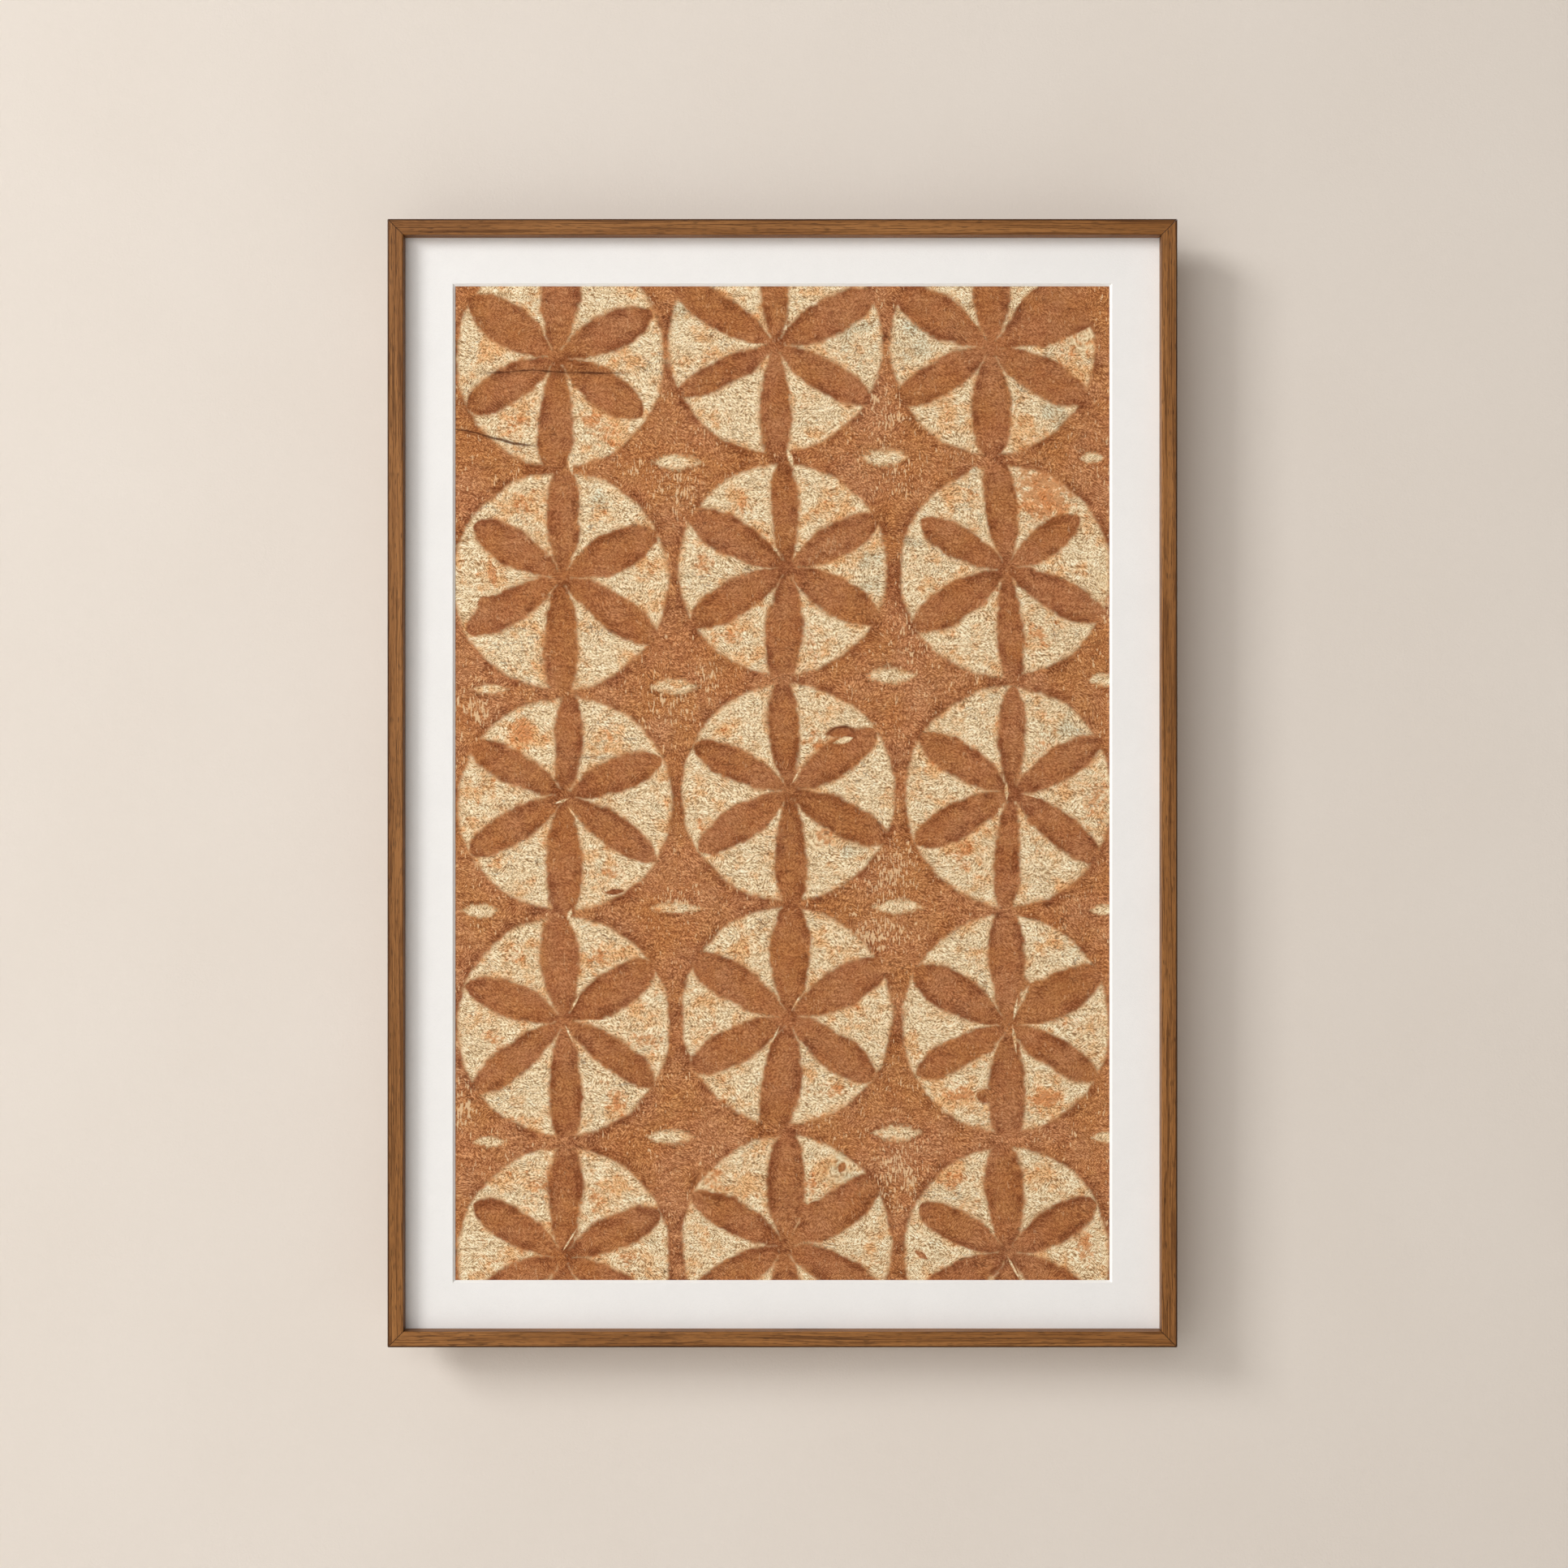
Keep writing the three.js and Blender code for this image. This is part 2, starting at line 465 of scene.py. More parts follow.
def start_material(name: str) -> tuple[bpy.types.Material, NodeSheet, bpy.types.Node]:
    """Starts a material.

    Args:
        name: The material's name.

    Returns:
        The material, its sheet of nodes and its Principled BSDF.
    """
    material = bpy.data.materials.new(name)
    material.use_nodes = True
    shader = next(node for node in material.node_tree.nodes if node.type == "BSDF_PRINCIPLED")
    return material, NodeSheet(material.node_tree), shader


def wear_finish(piece: bpy.types.Object, material: bpy.types.Material) -> None:
    """Puts a material in every slot of a piece."""
    if not piece.material_slots:
        piece.data.materials.append(material)
    for slot in piece.material_slots:
        slot.material = material


@dataclass(frozen=True)
class WalnutFinish:
    """Oiled walnut, its grain along each rail, dark at the mitres, with painted shade along the outer edge of its
    front.
    """

    pale: Colour = (159, 107, 58)
    middle: Colour = (134, 86, 42)
    dark: Colour = (86, 50, 21)
    # The pore colour also marks the mitre joints and paints the shade on the front's outer edge.
    pore: Colour = (60, 35, 18)
    half_width: float = 350.0
    half_height: float = 500.0
    front_depth: float = -28.0
    roughness: float = 0.42

    def make(self, run: GrainRun, shared: SharedEffects) -> bpy.types.Material:
        """Makes the finish for the rails that run one way.

        Args:
            run: Which way the grain runs.
            shared: The shared node groups.

        Returns:
            The material.
        """
        material, sheet, shader = start_material(f"walnut_{run.value}")
        centred = sheet.object_place(MIDDLE_HEIGHT)
        turn = (0, 0, 0) if run is GrainRun.ACROSS else (0, 90, 0)
        along = sheet.mapped(centred, shift=(37, 11, 5), turn=turn)
        grain = sheet.group(shared.grain, Place=along)
        colour = sheet.blend(grain.outputs["Tone"], tint(*self.middle), tint(*self.pale))
        streak = sheet.times(sheet.map_range(grain.outputs["Streak"], 0.45, 1.0), 0.75)
        colour = sheet.blend(streak, colour, tint(*self.dark))
        colour = sheet.blend(sheet.times(grain.outputs["Pore"], 0.6), colour, tint(*self.pore))

        side, depth, height = sheet.split(centred)
        from_side = sheet.minus(self.half_width, sheet.maths("ABSOLUTE", side))
        from_end = sheet.minus(self.half_height, sheet.maths("ABSOLUTE", height))
        from_edge = sheet.maths("MINIMUM", from_side, from_end)
        mitre = sheet.maths("ABSOLUTE", sheet.minus(from_side, from_end))
        colour = sheet.blend(sheet.map_range(mitre, 0.7, 0.15, 0.0, 0.7), colour, tint(*self.pore))
        # Painted shade: the outer rounded edge of the front is darkened with the pore colour, standing in for the
        # shade on that rounded edge.
        at_front = sheet.map_range(depth, self.front_depth + 0.2, self.front_depth + 2.5, 0.84, 0.0)
        painted_arris_shade = sheet.times(sheet.map_range(from_edge, 2.2, 0.9), at_front)
        colour = sheet.blend(painted_arris_shade, colour, tint(*self.pore))
        sheet.feed(shader.inputs["Base Color"], colour)
        rough = sheet.blend_values(grain.outputs["Streak"], self.roughness - 0.06, self.roughness + 0.1)
        sheet.feed(shader.inputs["Roughness"], rough)
        shader.inputs["Specular IOR Level"].default_value = 0.14
        relief = sheet.minus(grain.outputs["Streak"], grain.outputs["Pore"])
        sheet.feed(shader.inputs["Normal"], sheet.bump(relief, 0.5, 0.00012))
        return material


@dataclass(frozen=True)
class MatFinish:
    """Cotton mat board: off-white faces with a faint tooth, and a whiter core on the bevel."""

    face: Colour = (243, 240, 237)
    shade: Colour = (236, 233, 230)
    core: Colour = (250, 248, 245)
    front_depth: float = -13.0
    roughness: float = 0.93

    def make(self, shared: SharedEffects) -> bpy.types.Material:
        """Makes the finish.

        Args:
            shared: The shared node groups.

        Returns:
            The material.
        """
        material, sheet, shader = start_material("mat_board")
        place = sheet.object_place()
        flat = sheet.mapped(place, turn=(90, 0, 0))
        tooth = sheet.group(shared.fibres, Place=flat, Length=2.4, Width=0.8).outputs["Height"]
        cloud = sheet.group(shared.blotches, Place=place, Size=46.0, Cover=0.5, Softness=0.4)
        colour = sheet.blend(sheet.times(cloud.outputs["Mask"], 0.35), tint(*self.face), tint(*self.shade))
        colour = sheet.blend(sheet.map_range(tooth, 0.35, 0.0, 0.0, 0.25), colour, tint(*self.shade))
        _, depth, _ = sheet.split(place)
        bevel = sheet.map_range(depth, self.front_depth + 0.05, self.front_depth + 0.15)
        sheet.feed(shader.inputs["Base Color"], sheet.blend(bevel, colour, tint(*self.core)))
        shader.inputs["Roughness"].default_value = self.roughness
        shader.inputs["Specular IOR Level"].default_value = 0.25
        sheet.feed(shader.inputs["Normal"], sheet.bump(tooth, 0.35, 0.0001))
        return material


@dataclass(frozen=True)
class HardboardFinish:
    """Brown hardboard with pressed chips, for the board behind the cloth."""

    ground: Colour = (134, 98, 66)
    chip: Colour = (92, 63, 40)
    fleck: Colour = (178, 141, 100)
    roughness: float = 0.72

    def make(self, shared: SharedEffects) -> bpy.types.Material:
        """Makes the finish.

        Args:
            shared: The shared node groups.

        Returns:
            The material.
        """
        material, sheet, shader = start_material("hardboard")
        place = sheet.object_place()
        flat = sheet.mapped(place, turn=(90, 0, 0))
        strands = sheet.group(shared.fibres, Place=flat, Length=5.0, Width=1.4).outputs["Height"]
        chips = sheet.group(shared.blotches, Place=place, Size=7.0, Cover=0.42, Softness=0.12)
        clouds = sheet.group(shared.blotches, Place=place, Size=140.0, Cover=0.5, Softness=0.5)
        flecked = sheet.map_range(strands, 0.45, 0.9, 0.0, 0.5)
        colour = sheet.blend(flecked, tint(*self.ground), tint(*self.fleck))
        colour = sheet.blend(sheet.times(chips.outputs["Mask"], 0.45), colour, tint(*self.chip))
        colour = sheet.blend(sheet.times(clouds.outputs["Mask"], 0.25), colour, tint(*self.chip))
        sheet.feed(shader.inputs["Base Color"], colour)
        shader.inputs["Roughness"].default_value = self.roughness
        sheet.feed(shader.inputs["Normal"], sheet.bump(strands, 0.4, 0.00015))
        return material


@dataclass(frozen=True)
class SteelFinish:
    """Zinc-plated spring steel for the tabs, a little spangled."""

    bright: Colour = (176, 178, 180)
    dull: Colour = (120, 122, 125)
    roughness: float = 0.34

    def make(self, shared: SharedEffects) -> bpy.types.Material:
        """Makes the finish.

        Args:
            shared: The shared node groups.

        Returns:
            The material.
        """
        material, sheet, shader = start_material("plated_steel")
        place = sheet.object_place()
        patches = sheet.group(shared.blotches, Place=place, Size=2.6, Cover=0.5, Softness=0.25)
        spangle = patches.outputs["Mask"]
        sheet.feed(shader.inputs["Base Color"], sheet.blend(spangle, tint(*self.bright), tint(*self.dull)))
        rough = sheet.blend_values(spangle, self.roughness, self.roughness + 0.2)
        sheet.feed(shader.inputs["Roughness"], rough)
        shader.inputs["Metallic"].default_value = 1.0
        return material


@dataclass(frozen=True)
class Rosette:
    """One charted rosette: its disc, and the six petals that meet near the disc's middle."""

    x: float
    z: float
    half_width: float
    half_height: float
    hub_x: float
    hub_z: float
    turns: tuple[float, ...]
    breadths: tuple[float, ...]
    reaches: tuple[float, ...]

    def outside(self, x: Array, z: Array) -> Array:
        """Returns how far places lie outside the disc, in millimetres, below zero inside it."""
        share = np.hypot((x - self.x) / self.half_width, (z - self.z) / self.half_height)
        return (share - 1) * (self.half_width + self.half_height) / 2

    def unrolled(self, x: Array, z: Array) -> tuple[Array, Array]:
        """Finds places in an even rosette: petal tips every 60 degrees from 30, the disc's edge at 1.

        Args:
            x: The places' x.
            z: The places' z.

        Returns:
            The two coordinates in the even rosette.
        """
        away_x = x - self.x - self.hub_x
        away_z = z - self.z - self.hub_z
        away = np.maximum(np.hypot(away_x, away_z), 1e-6)
        cosine = away_x / away
        sine = away_z / away
        square = (cosine / self.half_width) ** 2 + (sine / self.half_height) ** 2
        middle = self.hub_x * cosine / self.half_width**2 + self.hub_z * sine / self.half_height**2
        rest = (self.hub_x / self.half_width) ** 2 + (self.hub_z / self.half_height) ** 2 - 1
        edge = (np.sqrt(middle**2 - square * rest) - middle) / square
        even = [30 + 60 * count for count in range(6)]
        tips = [turn - 360 for turn in self.turns] + list(self.turns) + [turn + 360 for turn in self.turns]
        even_tips = [turn - 360 for turn in even] + even + [turn + 360 for turn in even]
        turn = np.radians(np.interp(np.degrees(np.arctan2(away_z, away_x)), tips, even_tips))
        return np.cos(turn) * away / edge, np.sin(turn) * away / edge


ROSETTES = (
    Rosette(-198.5, 380, 92.5, 98, -2.5, 0, (25, 89, 146, 210, 269, 326), (29, 30, 34, 29, 28, 30),
            (0.97, 1.05, 1.02, 1.02, 1.12, 0.95)),
    Rosette(-6.5, 391, 95, 96, 0.5, -1, (28, 92, 149, 205.5, 270, 329), (30, 22, 28, 21, 25, 27),
            (1.07, 1.05, 1.09, 1.05, 1.12, 1.03)),
    Rosette(188, 389, 91, 96, -2, -1, (29, 90, 148, 210, 270, 332), (44, 29, 33, 30, 31, 30),
            (1.2, 1.1, 1.1, 1.07, 1.04, 1.05)),
    Rosette(-198, 181, 96, 97, 2, 3, (25, 90, 149, 209, 269, 326), (32, 27, 30, 27, 28, 29),
            (1.0, 1.05, 0.97, 1.0, 1.12, 1.06)),
    Rosette(0.5, 191, 93, 94, 4, 1, (29, 92.5, 151, 210, 266, 331), (28, 21, 29, 29, 29, 30),
            (1.06, 1.05, 1.05, 1.04, 1.12, 1.04)),
    Rosette(198.5, 189, 93.5, 94, 2, 2, (36, 96, 150, 213, 273, 333), (25, 28, 25, 28, 21, 27),
            (0.88, 1.14, 0.93, 1.02, 1.12, 1.05)),
    Rosette(-193.5, -18, 96, 94.5, 0, 6, (22, 88, 151, 210, 269, 324.5), (28, 23, 27, 26, 29, 26),
            (0.98, 1.05, 1.05, 1.0, 1.12, 1.0)),
    Rosette(5, -8, 95, 97, 1.5, 1, (35, 95, 154, 213, 271, 333), (29, 25, 25, 28, 25, 28),
            (1.0, 1.04, 0.98, 1.0, 1.1, 1.04)),
    Rosette(202, -12, 92, 98, 2.5, 4, (31, 89, 149, 207, 267, 322), (27, 22, 28, 28, 20, 26),
            (1.04, 1.0, 1.02, 1.0, 1.1, 1.05)),
    Rosette(-195.5, -217, 95, 97.5, 1, 5, (33, 93, 160, 218, 271, 324), (31, 31, 27, 27, 27, 24),
            (1.02, 1.07, 1.0, 1.05, 1.12, 1.02)),
    Rosette(3.5, -207.5, 94, 96.5, 2, -1.5, (30, 88, 148, 208, 262, 324), (31, 32, 29, 30, 33, 28),
            (1.06, 1.06, 1.06, 1.04, 1.12, 1.02)),
    Rosette(199.5, -215, 92, 97, 3, -1, (31, 93, 150, 208, 268, 328.5), (32, 28, 33, 25, 29, 25),
            (1.05, 1.1, 1.02, 1.0, 1.12, 1.02)),
    Rosette(-195.5, -422, 95, 96, 1, 0, (24, 89, 150, 207, 270, 328), (28, 26, 28, 28, 29, 28),
            (1.0, 1.06, 0.98, 1.0, 1.05, 1.0)),
    Rosette(4, -411, 93.5, 96, -0.5, -2, (36, 89, 152, 207, 270, 333.5), (33, 30, 27, 28, 27, 27),
            (1.07, 1.06, 1.02, 1.0, 1.05, 1.0)),
    Rosette(200, -420, 91.5, 96, 1.5, 0, (30, 94, 152, 207, 270, 330), (29, 30, 27, 28, 29, 26),
            (1.0, 1.06, 0.97, 1.0, 1.05, 1.0)),
)


@dataclass(frozen=True)
class Blob:
    """A soft round patch on the cloth, its half sizes, its turn in degrees and its strength."""

    x: float
    z: float
    across: float
    down: float
    turn: float = 0.0
    strength: float = 1.0

    def local(self, x: Array, z: Array) -> tuple[Array, Array]:
        """Finds places in the patch's own half sizes.

        Args:
            x: The places' x.
            z: The places' z.

        Returns:
            The two coordinates, 1 at the patch's edge.
        """
        turn = math.radians(self.turn)
        along = (x - self.x) * math.cos(turn) + (z - self.z) * math.sin(turn)
        up = (z - self.z) * math.cos(turn) - (x - self.x) * math.sin(turn)
        return along / self.across, up / self.down

    def strength_at(self, x: Array, z: Array) -> Array:
        """Returns the patch's strength at places, fading smoothly to its edge."""
        along, up = self.local(x, z)
        away = np.clip(np.hypot(along, up), 0, 1)
        return self.strength * (1 - away**2) ** 2


def blobs(*rows: tuple[float, ...]) -> tuple[Blob, ...]:
    """Returns a patch for each row of a patch's values."""
    return tuple(Blob(*row) for row in rows)


BARE = blobs(
    (-95, 286.5, 22, 7.4), (92, 291, 22, 8), (276, 290.5, 11, 5), (-261, 84, 17, 4.8), (-98, 86.5, 22, 7),
    (97, 96, 22, 7.7), (287, 92, 14, 6), (-270, -114, 17, 6.2), (-95, -111.5, 24, 5),
    (104, -110.5, 23, 6.6), (288, -113, 14, 5.3), (-262, -320, 15, 4.8), (-100, -315.5, 21, 7),
    (102, -312, 22, 7.4), (287, -316, 12, 5), (-189, 284, 9, 2.4, 100), (7, 290, 9, 2.4, 110),
    (173, 278, 7, 4, 5), (54, 38, 9, 3, 15), (12, 6, 8, 1, 62), (200, -7, 8, 2, 92),
    (226, -12, 10, 1, -12), (-187, -27, 8, 1.1, -55), (-197, -16, 7, 1.3, 20), (-190, -117, 6, 2, 70),
    (-190, -224, 9, 1, -65), (-185, -196, 9, 1.1, 62), (-6, -224, 8, 1, 65), (12, -196, 8, 1, 60),
    (207, -228, 14, 1.4, -82), (208, -201, 11, 1.2, 80), (-190, -408, 13, 1, 58),
    (206, -432, 12, 1.2, -62),
)

DABS = blobs(
    (52, 46, 14, 5.5, 8), (182, -234, 9, 8, 60), (53, -343, 5, 3.4, 60), (124, -421, 7, 2.4, -35),
    (181, -279, 9, 7, 0), (-266, 162, 7, 5, 30), (-150, -97, 9, 2.6, 5),
)

KNOTS = blobs(
    (35, -50, 14, 13), (-68, -359, 17, 17), (50, -345, 14, 17), (-80, -168, 8, 6), (268, 398, 12, 17),
    (286, 179, 6, 8), (52, 44, 14, 10), (47, -321, 5, 5), (180, -72, 4, 4),
)

PATCHES: dict[Patch, tuple[Blob, ...]] = {
    Patch.SMEAR: blobs(
        (262, 440, 44, 44, 0, 1.4), (240, 425, 30, 22, 0, 0.8), (24, -382, 14, 12, 0, 0.7),
        (222, -180, 14, 10, 0, 0.5),
    ),
    Patch.STAIN: blobs(
        (234, 262, 44, 50, 20, 1.3), (258, 396, 34, 30, 0, 0.45), (-238, 320, 22, 16, 0, 0.6),
        (-160, 312, 20, 26, 30, 0.6), (-173, 323, 12, 9, 20, 1.1), (-232, 246, 8, 18, 0, 0.8),
        (-259, 186, 6, 17, 8, 1.2), (-70, 196, 17, 15, 0, 0.8), (-36, 247, 12, 18, 0, 0.6),
        (27, 122, 9, 26, 15, 0.8), (-46, 130, 18, 12, 0, 0.7), (229, 132, 20, 10, -45, 0.9),
        (-232, 46, 17, 22, 0, 1.1), (-155, 42, 10, 10, 0, 0.6), (-152, -80, 18, 16, 0, 0.7),
        (-72, -35, 7, 7, 0, 0.9), (31, 38, 18, 18, 0, 0.7), (161, -66, 12, 26, 0, 0.9),
        (280, -14, 20, 28, -20, 0.8), (232, 30, 18, 18, 0, 0.7), (-240, -154, 14, 14, 0, 0.7),
        (-165, -155, 12, 14, 0, 0.7), (-120, -230, 26, 12), (-256, -230, 22, 12, -30, 0.8),
        (-240, -300, 22, 5, -5, 0.9), (-148, -282, 16, 20, 30, 0.9), (-60, -217, 8, 12, 0, 0.8),
        (45, -274, 24, 12, 0, 0.7), (160, -278, 22, 10, 0, 1.1), (234, -281, 24, 13, 0, 1.1),
        (256, -214, 18, 14, 0, 0.6), (-212, -360, 24, 14, 0, 0.8), (-168, -372, 12, 22, 0, 0.7),
        (24, -360, 12, 18, 0, 0.9), (154, -356, 22, 18, 0, 0.6), (270, -416, 14, 22),
        (-140, -424, 18, 18, 0, 0.7), (-62, -352, 18, 16, 0, 0.8), (36, -48, 15, 13, 0, 1.1),
    ),
    Patch.PEACH: blobs(
        (-157, 327, 34, 26), (-236, 331, 30, 24), (-140, 372, 22, 22, 0, 0.8),
        (-258, 385, 24, 26, 0, 0.7), (156, 327, 28, 22, 0, 0.7), (252, 372, 28, 30),
        (214, 318, 20, 26, 0, 0.9), (-226, 248, 28, 18, 0, 0.9), (-267, 193, 18, 26, 0, 0.9),
        (-160, 240, 24, 16, 0, 0.5), (-40, 252, 26, 18, 0, 0.9), (46, 248, 28, 20, 0, 1.2),
        (-36, 138, 24, 18, 0, 0.8), (40, 205, 28, 16, 20, 1.0), (153, 255, 24, 16, 0, 0.9),
        (239, 248, 30, 22, 0, 1.2), (-229, 42, 28, 20, 0, 1.1), (-153, 35, 26, 18, 0, 0.9),
        (-263, -6, 16, 24, 0, 0.6), (-43, 49, 24, 18, 0, 0.6), (60, -47, 24, 18, 0, 0.8),
        (136, 14, 16, 26, 0, 1.1), (163, -54, 24, 22), (252, 8, 24, 30, 0, 0.8),
        (232, 63, 24, 14, 0, 0.8), (-236, -151, 26, 16, 0, 0.8), (-153, -151, 28, 18, 0, 1.1),
        (-133, -199, 18, 18), (-36, -151, 26, 18), (46, -151, 26, 18, 0, 0.8),
        (-64, -199, 16, 20, 0, 0.8), (149, -281, 28, 22, 0, 1.2), (232, -281, 30, 24, 0, 1.2),
        (-243, -350, 28, 20, 0, 0.9), (-153, -364, 28, 20, 0, 1.1), (-30, -357, 30, 22, 0, 1.1),
        (39, -343, 24, 20), (149, -350, 26, 20, 0, 0.9), (232, -350, 30, 22, 0, 1.1),
        (266, -405, 18, 26, 0, 1.1),
    ),
    Patch.WORN: blobs(
        (-94, 264, 34, 40, 0, 0.8), (-130, 280, 22, 16, 0, 0.7), (94, 328, 24, 44, 0, 0.8),
        (106, 272, 30, 26, 0, 0.8), (40, 206, 26, 14, 20, 1.0), (-272, 66, 26, 30),
        (-70, 94, 24, 20, 0, 0.8), (-98, 66, 34, 34, 0, 0.7), (116, 130, 34, 40, 0, 0.7),
        (285, 165, 14, 24, 0, 0.9), (96, -80, 36, 50, 0, 1.1), (80, -136, 54, 30, 0, 1.1),
        (-92, -106, 40, 20, 0, 0.8), (104, -348, 34, 44, 0, 1.1), (-284, -290, 18, 40, 0, 0.9),
        (-10, 398, 18, 22, 0, 0.6), (31, -195, 22, 12, 0, 0.7),
    ),
    Patch.GREY: blobs(
        (244, 328, 30, 16, -38, 1.3), (122, 400, 30, 40), (52, -345, 30, 24, 0, 0.8),
        (60, 405, 40, 36, 0, 0.9), (-95, 425, 26, 26, 0, 0.9), (175, 279, 10, 6, 0, 1.2),
        (250, 50, 30, 20, 0, 0.9), (-165, 252, 24, 14, 0, 0.8), (110, 215, 16, 8, -20, 1.0),
        (-255, 12, 30, 30, 0, 0.7), (80, 190, 20, 40, 0, 0.7), (60, -60, 36, 24, 0, 0.6),
    ),
}


@dataclass(frozen=True)
class Ridge:
    """A soft ridge of the cloth, as the part's source has it: a long low hump."""

    x: float
    z: float
    length: float
    width: float
    turn: float
    rise: float

    def rise_at(self, x: Array, z: Array) -> Array:
        """Returns the ridge's rise at places, in millimetres."""
        turn = math.radians(self.turn)
        along = (x - self.x) * math.cos(turn) + (z - self.z) * math.sin(turn)
        across = (z - self.z) * math.cos(turn) - (x - self.x) * math.sin(turn)
        return self.rise * np.exp(-((2 * along / self.length) ** 2) - (2 * across / self.width) ** 2)


RIDGES = (
    Ridge(-193, 366, 150, 34, -1, 0.6),
    Ridge(-235, 308, 110, 30, -10, 0.5),
    Ridge(-172, 24, 90, 34, 3, 0.45),
    Ridge(52, 44, 80, 44, 24, 0.4),
    Ridge(34, -50, 50, 44, 0, 0.55),
    Ridge(-68, -360, 60, 48, 12, 0.5),
    Ridge(150, 214, 150, 36, 2, 0.45),
    Ridge(205, -210, 110, 50, -38, 0.4),
    Ridge(-95, 190, 46, 180, 4, 0.35),
    Ridge(-90, -250, 50, 170, -5, 0.35),
)


@dataclass(frozen=True)
class Crease:
    """A crease: the points it runs through, its depth in millimetres and how dark its painted shade line is."""

    points: tuple[tuple[float, float], ...]
    depth: float
    dark: float
    width: float = 5.0

    def beside(self, x: Array, z: Array) -> tuple[Array, Array]:
        """Measures places against the crease.

        Args:
            x: The places' x.
            z: The places' z.

        Returns:
            The signed distance from the crease's line, and how near a place is to its run, from 0 to 1.
        """
        best = np.full(x.shape, 1e9)
        side = np.zeros(x.shape)
        near = np.zeros(x.shape)
        run = list(zip(self.points, self.points[1:]))
        for count, ((x0, z0), (x1, z1)) in enumerate(run):
            length = math.hypot(x1 - x0, z1 - z0)
            along = ((x - x0) * (x1 - x0) + (z - z0) * (z1 - z0)) / length
            offset = ((z - z0) * (x1 - x0) - (x - x0) * (z1 - z0)) / length
            beyond = np.maximum(np.maximum(-along, along - length), 0)
            away = np.hypot(offset, beyond)
            closer = away < best
            fade_in = np.clip(along / 18 + 0.15, 0, 1) if count == 0 else 1.0
            fade_out = np.clip((length - along) / 18 + 0.15, 0, 1) if count == len(run) - 1 else 1.0
            best = np.where(closer, away, best)
            side = np.where(closer, offset, side)
            near = np.where(closer, fade_in * fade_out * np.clip(1.6 - beyond / 4, 0, 1), near)
        return side, np.clip(near, 0, 1) * np.clip(2 - best / 10, 0, 1)


CREASES = (
    Crease(
        ((-268, 366), (-245, 367), (-222, 368.5), (-200, 367), (-178, 366), (-160, 366), (-138, 365)),
        0.4, 0.9, 4.5,
    ),
    Crease(((-306, 318), (-285, 315), (-268, 311), (-250, 306), (-235, 302), (-214, 300)), 0.3, 0.9),
    Crease(((-292, 284), (-262, 282), (-234, 283)), 0.2, 0.35),
    Crease(((-125, 425), (-117, 417)), 0.15, 0.7, 3.0),
    Crease(((-198, 22), (-172, 23), (-146, 24)), 0.25, 0.55),
    Crease(((96, 219), (126, 218)), 0.2, 0.5),
    Crease(((38, 40), (46, 49), (58, 50), (66, 44)), 0.25, 0.8, 4.0),
    Crease(((-98, 66), (-99, 20), (-98, -20), (-97, -60)), 0.1, 0.2),
)


